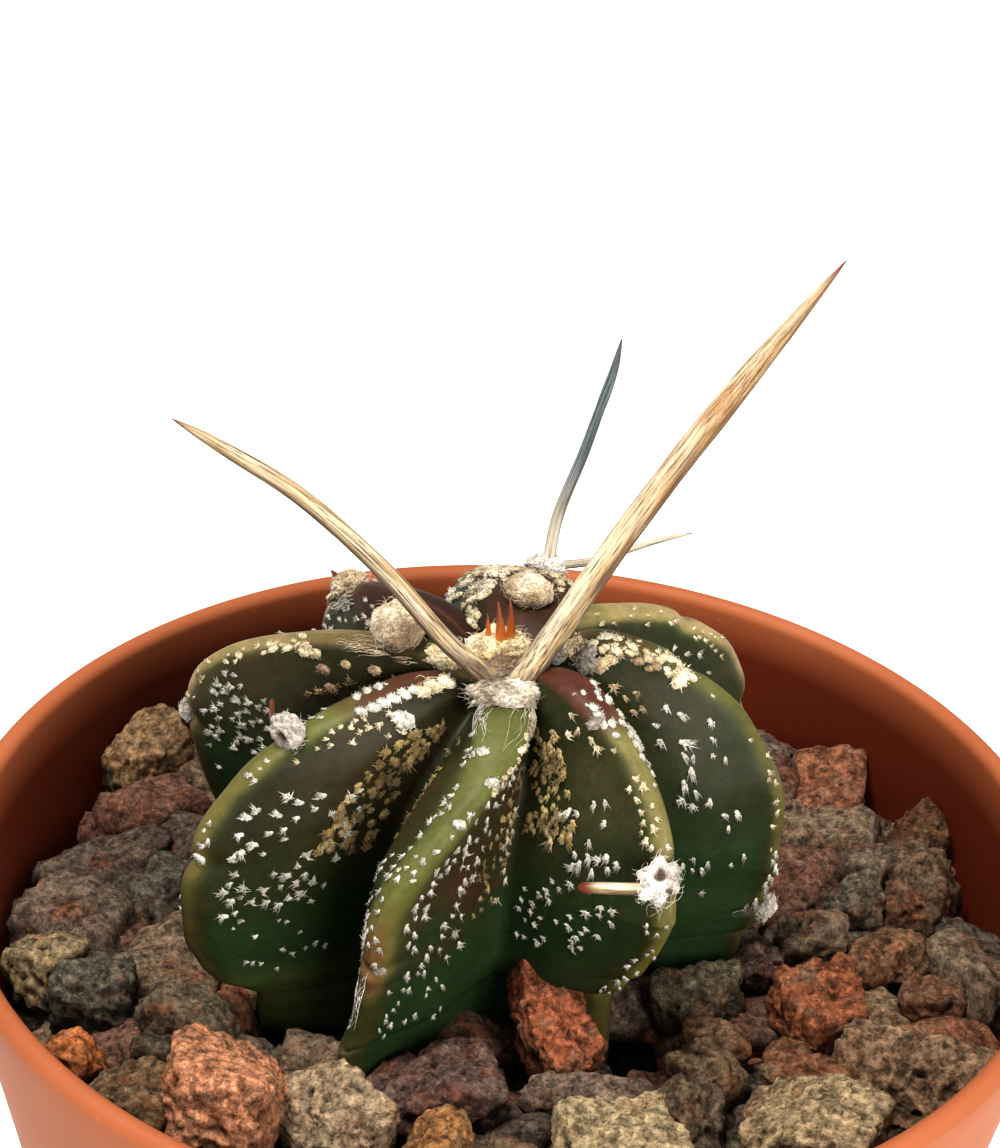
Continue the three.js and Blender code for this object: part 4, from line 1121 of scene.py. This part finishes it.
def curvePoint(points, u):  # Catmull-Rom through the points
    scaled = clamp(u) * (len(points) - 1)
    at = min(int(scaled), len(points) - 2)
    w = scaled - at
    p1, p2 = Vector(points[at]), Vector(points[at + 1])
    p0 = Vector(points[at - 1]) if at else 2 * p1 - p2
    p3 = Vector(points[at + 2]) if at + 2 < len(points) else 2 * p2 - p1
    return 0.5 * (2 * p1 + (p2 - p0) * w + (2 * p0 - 5 * p1 + 4 * p2 - p3) * w ** 2
                  + (3 * p1 - p0 - 3 * p2 + p3) * w ** 3)


def hornRadius(name, base, middle, u):
    if name == "stub":
        return base * (1 - 0.25 * u) * math.sqrt(max(0, 1 - smoothStep(u, 0.94, 1.0)))
    if u < 0.6:
        return mix(base, middle, u / 0.6)
    return middle * (1 - ((u - 0.6) / 0.4) ** 2.8) + 0.015


def addHorn(bm, name, points, base, middle, around=24, along=150):
    reach = sum((Vector(b) - Vector(a)).length for a, b in zip(points, points[1:]))
    seed = sum(ord(letter) for letter in name)
    part = bmesh.new()
    own = {key: part.verts.layers.float.new(key)
           for key in ("tip", "barkAndUnderShade", "shade", "litAndBleached", "warm", "sheath", "crack")}
    grain = part.verts.layers.float_vector.new("grain")

    def shaft(vert, column, row):
        u = row / along
        middlePoint = curvePoint(points, u)
        ahead = (curvePoint(points, u + 0.01) - curvePoint(points, u - 0.01)).normalized()
        across = ahead.cross(Vector((0.2, 1, 0.1))).normalized()
        up = across.cross(ahead).normalized()
        angle = math.tau * column / around
        spin = (math.cos(angle), math.sin(angle))
        radius = hornRadius(name, base, middle, u)
        ridge = noise.noise(Vector((spin[0] * 1.8, spin[1] * 1.8, u * reach * 0.12 + seed)))
        crack = noise.noise(Vector((spin[0] * 4, spin[1] * 4, u * reach * 0.35 + seed)))
        radius *= 1 + 0.08 * ridge + 0.07 * crack + 0.05 * math.cos(2 * angle)
        out = across * spin[0] + up * spin[1]
        low = 1 - smoothStep(u, 0.14, 0.5)
        browned = (0.75, 0.95) if name == "stub" else (0.93, 1)
        vert[own["tip"]] = 0.9 if "Tip" in name else smoothStep(u, *browned)
        # grey-brown bark low down, with more of it on the underside as painted shade
        vert[own["barkAndUnderShade"]] = low * clamp(0.55 + 2.6 * ridge + 2.2 * crack - 0.5 * out.z) * 0.9
        under = out.dot(Vector((-0.6, 0, -0.75) if name == "left" else (0.3, 0, -0.9)))
        vert[own["shade"]] = smoothStep(under + 0.8 * crack, -0.05, 0.5) * mix(0.95, 0.6, u)
        # painted highlight on the side that faces the key light
        bright = smoothStep(out.dot(Vector((-0.65, -0.3, 0.73))) + 1.1 * crack, 0.25, 0.8)
        vert[own["litAndBleached"]] = bright * mix(0.25, 0.9, smoothStep(u, 0.1, 0.45))
        vert[own["warm"]] = (smoothStep(u, 0.25, 0.7) * clamp(0.6 + 1.6 * crack)
                             * {"right": 0.8, "left": 0.3}.get(name, 0))
        if name in ("thin", "back"):  # bleached towards its foot
            # on these spines the same pale mask is the spine's own bleaching
            vert[own["litAndBleached"]] = 0.75 if name == "thin" else 0.7 * (1 - smoothStep(u, 0.05, 0.4))
        if name == "right":  # the torn grey sheath at its foot
            facing = out.dot(Vector((-0.6, -0.8, 0)))
            vert[own["sheath"]] = (1 - smoothStep(u, 0.05, 0.11)) * smoothStep(facing, 0.1, 0.5) * 0.9
            vert[own["crack"]] = ((1 - smoothStep(u, 0.06, 0.12)) * smoothStep(u, 0.01, 0.03)
                                  * (1 - smoothStep(abs(facing - 0.35), 0.1, 0.25)))
        vert[grain] = Vector((spin[0] * 0.7, spin[1] * 0.7, u * reach * 0.055 + seed))
        if row in (0, along):
            radius = 0
        return place(*(middlePoint + out * radius))

    rolled(part, around, along, shaft)
    joined(bm, part)


def makeSpines():
    straw = dryHorn("dry_straw_horn", "#54402E", "#A08663", "#CCB68E", 0.9)
    grey = dryHorn("dry_grey_horn", "#343C42", "#525E66", "#7F8A8F", 0.3)
    for piece, names, material, replaced, slot in (
        ("front_horns", ("left", "right", "woolTip", "farTip"), straw, "front_spines", "spine"),
        ("back_horns", ("back", "thin"), grey, "back_spines", "grey_spine"),
        ("stub_horn", ("stub",), straw, "stub_spine", "stub_spine"),
    ):
        bm = bmesh.new()
        for name in names:
            points, base, middle = horns[name]
            addHorn(bm, name, points, base, middle)
        makePiece(piece, bm, material, [replaced], slot)

    around, along = 14, 24
    bm = bmesh.new()
    for points, base in youngHorns:
        part = bmesh.new()

        def shaft(vert, column, row):
            u = row / along
            angle = math.tau * column / around
            radius = 0 if row in (0, along) else base * (1 - u) ** 0.9 + 0.02
            return place(*(curvePoint(points, u) + Vector((math.cos(angle), math.sin(angle), 0)) * radius))

        rolled(part, around, along, shaft)
        joined(bm, part)
    makePiece("young_horns", bm, youngHorn(), ["young_spines"], "young_spine")
    print("spines")


makeSpines()

# Lava grit

grit = {
    "bedDrop": 8.2,
    "planes": 5,
    "squareness": 9,
    "intoWall": 0.2,
    "stones": {"draws": 41, "seed": 500, "count": 84, "tries": 6000, "sizes": (3.3, 1.9), "ease": 0.6,
               "inset": 0.6, "shape": 5, "cuts": 4, "tintStep": 1, "pitted": 1.0},
    "pebbles": {"draws": 55, "seed": 900, "count": 170, "tries": 5000, "sizes": (1.7, 0.9), "ease": 1,
                "inset": 1, "shape": 4, "cuts": 3, "tintStep": 3, "pitted": 0.4},
}
# Loose stones: place, drop below the rim, half sizes, bearing of the long side, tilt, slot and tint
looseStones = [dict(zip("x y drop a b c yaw tilt slot tint".split(), row)) for row in [
    (2.6, -10.9, 4.6, 3.4, 1.9, 1.9, -50, 20, "red_stone", "#94593F"),
    (18.6, -8.1, 5.7, 2.8, 2.6, 2.5, 20, 0, "red_stone", "#86533A"),
    (23.2, -12.6, 6.3, 3.7, 3.3, 3.3, -40, 0, "grey_stone", "#8A7059"),
    (7.0, -20.9, 6.6, 3.5, 3.0, 3.1, 10, 0, "tan_stone", "#AC9877"),
    (16.6, -18.0, 6.0, 3.6, 3.1, 3.2, -25, 0, "tan_stone", "#A58F70"),
    (-14.6, -17.6, 5.4, 3.8, 3.2, 3.4, 70, 10, "red_stone", "#BC8464"),
    (-9.3, -18.2, 5.9, 3.6, 2.0, 2.3, -42, 8, "grey_stone", "#A48E74"),
    (-3.6, -15.4, 6.6, 3.6, 2.3, 2.4, 8, 0, "dark_stone", "#66514A"),
    (4.8, -14.9, 6.5, 3.9, 1.6, 1.7, -8, 0, "grey_stone", "#7C685C"),
    (-2.9, -20.0, 6.2, 2.4, 1.9, 1.9, 30, 0, "tan_stone", "#A0744C"),
    (-17.3, -10.8, 6.2, 2.6, 2.2, 2.3, -20, 0, "grey_stone", "#5E5243"),
    (-18.4, -13.7, 6.9, 1.7, 1.6, 1.7, 0, 0, "dark_stone", "#4C4438"),
    (-26.1, -7.0, 5.9, 2.2, 2.1, 2.5, 60, 0, "tan_stone", "#8C7B5E"),
    (-23.2, -9.2, 5.7, 2.1, 2.0, 2.1, 0, 0, "grey_stone", "#585349"),
    (-23.4, -14.4, 6.4, 1.7, 1.4, 1.4, 25, 0, "red_stone", "#A8683E"),
    (-19.8, -17.9, 6.1, 2.8, 2.0, 2.1, -30, 0, "tan_stone", "#6F5A43"),
    (11.4, -6.6, 6.1, 2.4, 1.9, 2.0, 20, 0, "dark_stone", "#5A5142"),
    (14.6, -3.8, 5.9, 1.3, 1.3, 1.8, 0, 0, "dark_stone", "#503E38"),
    (17.9, -0.9, 5.8, 1.9, 1.8, 2.3, 0, 0, "grey_stone", "#69594A"),
    (22.0, -1.9, 6.3, 2.5, 1.7, 1.7, 10, 0, "red_stone", "#7A5C46"),
    (21.0, 4.0, 6.1, 1.7, 1.7, 1.9, 0, 0, "grey_stone", "#5F564A"),
    (16.9, -13.2, 6.0, 2.6, 1.5, 1.4, -22, 0, "red_stone", "#7C5640"),
    (12.3, -9.9, 6.4, 1.7, 1.4, 1.4, 0, 0, "red_stone", "#745845"),
    (11.7, -12.8, 6.4, 1.8, 1.6, 1.7, 40, 0, "tan_stone", "#7C6650"),
    (10.6, -16.6, 6.3, 1.9, 1.9, 2.1, 0, 0, "grey_stone", "#625444"),
    (25.4, 5.4, 6.4, 2.9, 2.1, 2.2, 70, 0, "dark_stone", "#65503F"),
    (25.8, 11.4, 6.4, 2.0, 1.8, 2.0, 30, 0, "red_stone", "#624433"),
    (-23.9, 14.4, 6.0, 2.7, 2.4, 2.5, 20, 0, "tan_stone", "#94785A"),
    (24.9, -4.9, 6.6, 1.8, 1.3, 1.3, 0, 0, "red_stone", "#70503F"),
]]
bedTints = ["#6B5C50", "#755548", "#584C44", "#857058", "#664B40", "#7A6856", "#5E584E", "#865A44"]


def stonePlanes(seed):
    draw = randomFrom(seed)
    planes = [(Vector(axis) * sign, 1 + 0.15 * draw())
              for axis in ((1, 0, 0), (0, 1, 0), (0, 0, 1)) for sign in (-1, 1)]
    for i in range(grit["planes"]):
        z = 2 * draw() - 1
        turn = math.tau * draw()
        flat = math.sqrt(1 - z * z)
        planes.append((Vector((flat * math.cos(turn), flat * math.sin(turn), z)), 0.72 + 0.25 * draw()))
    return planes


def addStone(bm, stone, cuts, tint, pitted=1.0):
    planes = stonePlanes(stone["seed"])
    sizes = (stone["a"], stone["b"], stone["c"])
    turn = Matrix.Rotation(math.radians(stone["yaw"]), 3, "Z")
    turn = turn @ Matrix.Rotation(math.radians(stone["tilt"]), 3, "Y")
    shift = Vector((stone["seed"] * 1.7, stone["seed"] * 0.6, 0))
    part = bmesh.new()
    bmesh.ops.create_icosphere(part, subdivisions=cuts, radius=1)
    tintLayer = part.verts.layers.float_color.new("tint")
    stoneShadeLayer = part.verts.layers.float.new("hollow")
    color = linear(tint)
    for vert in part.verts:
        out = vert.co.normalized()
        total = sum(max(0, out.dot(normal) / height) ** grit["squareness"] for normal, height in planes)
        spot = out * total ** (-1 / grit["squareness"])
        spot = sized(spot, sizes)
        bend = noise.noise_vector(spot * 0.8 + shift) * 0.5
        humps = noise.fractal(spot * 0.42 + shift, 0.9, 2.0, 2)
        crags = noise.turbulence((spot + bend) * 0.75 + shift, 4, True)
        crumbs = noise.fractal((spot + bend) * 1.7 + shift, 0.6, 2.2, 3)
        knobs = 0.5 - noise.voronoi((spot + bend) * 1.5 + shift)[0][0]
        distances, points = noise.voronoi((spot + bend) * 1.1 + shift)
        pit = (1 - smoothStep(distances[0], 0.1, 0.45)) * (noise.cell(points[0] * 7.3) > 0.35) * pitted
        # painted shade: darker in pits and crags and on each stone's underside
        below = smoothStep(-(turn @ out).z, -0.25, 0.45)
        vert[stoneShadeLayer] = clamp(0.6 * pit + 0.9 * (crags - 0.55) - 0.3 * crumbs - 0.3 * knobs + 0.9 * below)
        spot += out * (0.34 * humps + 0.12 * crumbs - 0.5 * (crags - 0.45) - 0.45 * pit + 0.16 * knobs)
        spot = turn @ spot + Vector((stone["x"], stone["y"], -stone["drop"]))
        reach = math.hypot(spot.x, spot.y)
        wall = potInner(min(potHeight + spot.z, potHeight)) + grit["intoWall"]
        if reach > wall:  # never out through the pot
            spot.x, spot.y = spot.x * (wall / reach), spot.y * (wall / reach)
        vert.co = place(*spot)
        vert[tintLayer] = color
    joined(bm, part)


def footReach(bearing):
    reach = stem["valleyFoot"]
    for rib in ribs.values():
        off = abs((bearing - rib["foot"] + 540) % 360 - 180)
        reach = max(reach, stem["valleyFoot"] + (rib["footRadius"] - stem["valleyFoot"]) * (1 - off / 22))
    return reach


# Where the bed shows no stones, at the stem's foot: x, y and radius
bareSpots = [(-11, -8.2, 3.8), (7.4, -9.4, 2.6)]


def clearOf(stones, x, y, size, closeness):
    bearing = math.degrees(math.atan2(y - stem["y"], x - stem["x"])) % 360
    if math.hypot(x - stem["x"], y - stem["y"]) <= footReach(bearing) + 0.5 * size:
        return False
    return all(math.hypot(other["x"] - x, other["y"] - y) > closeness * (max(other["a"], other["b"]) + size)
               for other in stones)


def scattered(kind, fits, shaped):
    draw = randomFrom(kind["draws"])
    stones = []
    for attempt in range(kind["tries"]):
        if len(stones) >= kind["count"]:
            break
        size = mix(*kind["sizes"], (attempt / kind["tries"]) ** kind["ease"])
        ring = (potInner(potHeight - grit["bedDrop"]) - kind["inset"] * size) * math.sqrt(draw())
        turn = math.tau * draw()
        x, y = ring * math.cos(turn), ring * math.sin(turn)
        shape = [draw() for i in range(kind["shape"])]
        if fits(stones, x, y, size):
            body = dict(zip(("drop", "a", "b", "c", "yaw", "tilt"), shaped(size, *shape)))
            stones.append({"seed": kind["seed"] + len(stones), "x": x, "y": y, **body})
    return stones


def offBareSpots(x, y, room):
    return all(math.hypot(x - spot[0], y - spot[1]) > spot[2] + room for spot in bareSpots)


def bedStones():
    def fits(stones, x, y, size):
        return clearOf(looseStones + stones, x, y, size, 0.74) and offBareSpots(x, y, 0.5 * size)

    def shaped(size, rise, long, wide, high, yaw):
        return (grit["bedDrop"] - 0.15 * size + 0.5 * rise, size * (0.95 + 0.2 * long),
                size * (0.7 + 0.25 * wide), size * (0.65 + 0.25 * high), 360 * yaw, 20 * long - 10)

    return scattered(grit["stones"], fits, shaped)


def bedPebbles(bed):
    def fits(pebbles, x, y, size):
        return (clearOf(looseStones + bed, x, y, size, 0.62) and clearOf(pebbles, x, y, size, 0.8)
                and offBareSpots(x, y, 0))

    def shaped(size, rise, wide, high, yaw):
        return (grit["bedDrop"] - 0.4 + rise, size, size * (0.7 + 0.3 * wide),
                size * (0.6 + 0.3 * high), 360 * yaw, 20 * rise - 10)

    return scattered(grit["pebbles"], fits, shaped)


def makeGrit():
    material = lavaStone()
    for i, stone in enumerate(looseStones):
        stone["seed"] = 100 + i
        bm = bmesh.new()
        addStone(bm, stone, 6 if i < 8 else 5, stone["tint"])  # the nearest stones finest
        name = f"stone_{i + 1:02d}"
        makePiece(name + "_lava", bm, material, [name], stone["slot"])

    bed = bedStones()
    pebbles = bedPebbles(bed)
    for name, stones, kind in (("bed_stones", bed, grit["stones"]),
                               ("bed_pebbles", pebbles, grit["pebbles"])):
        bm = bmesh.new()
        for i, stone in enumerate(stones):
            addStone(bm, stone, kind["cuts"], bedTints[i * kind["tintStep"] % len(bedTints)], kind["pitted"])
        makePiece(name, bm, material, ["grit_bed"], "grit")

    # The grit below: one body from the pot's floor up, its top rough and painted dark as the shade between
    # the stones
    low = pot["floor"] + 0.3
    top = potHeight - grit["bedDrop"]
    profile = [(0, low), (potInner(low) - 1.3, low), (potInner(low + 1) - 0.3, low + 1),
               (potInner(top) - 0.3, top)]
    profile += [(potInner(top) * (1 - (step + 1) / 40), top) for step in range(40)]
    bm = turned(profile, 160)
    layer = bm.verts.layers.float_color.new("tint")
    for vert in bm.verts:
        vert[layer] = linear("#33291F")
        if vert.co.z > (top - 0.1) * mm:
            vert.co.z += (noise.fractal(vert.co * 500, 0.7, 2.0, 4) * 0.8 - 2.2) * mm
    makePiece("grit_fill", bm, material, ["grit_bed"], "grit")
    print("grit", len(bed), "bed stones,", len(pebbles), "pebbles")


makeGrit()
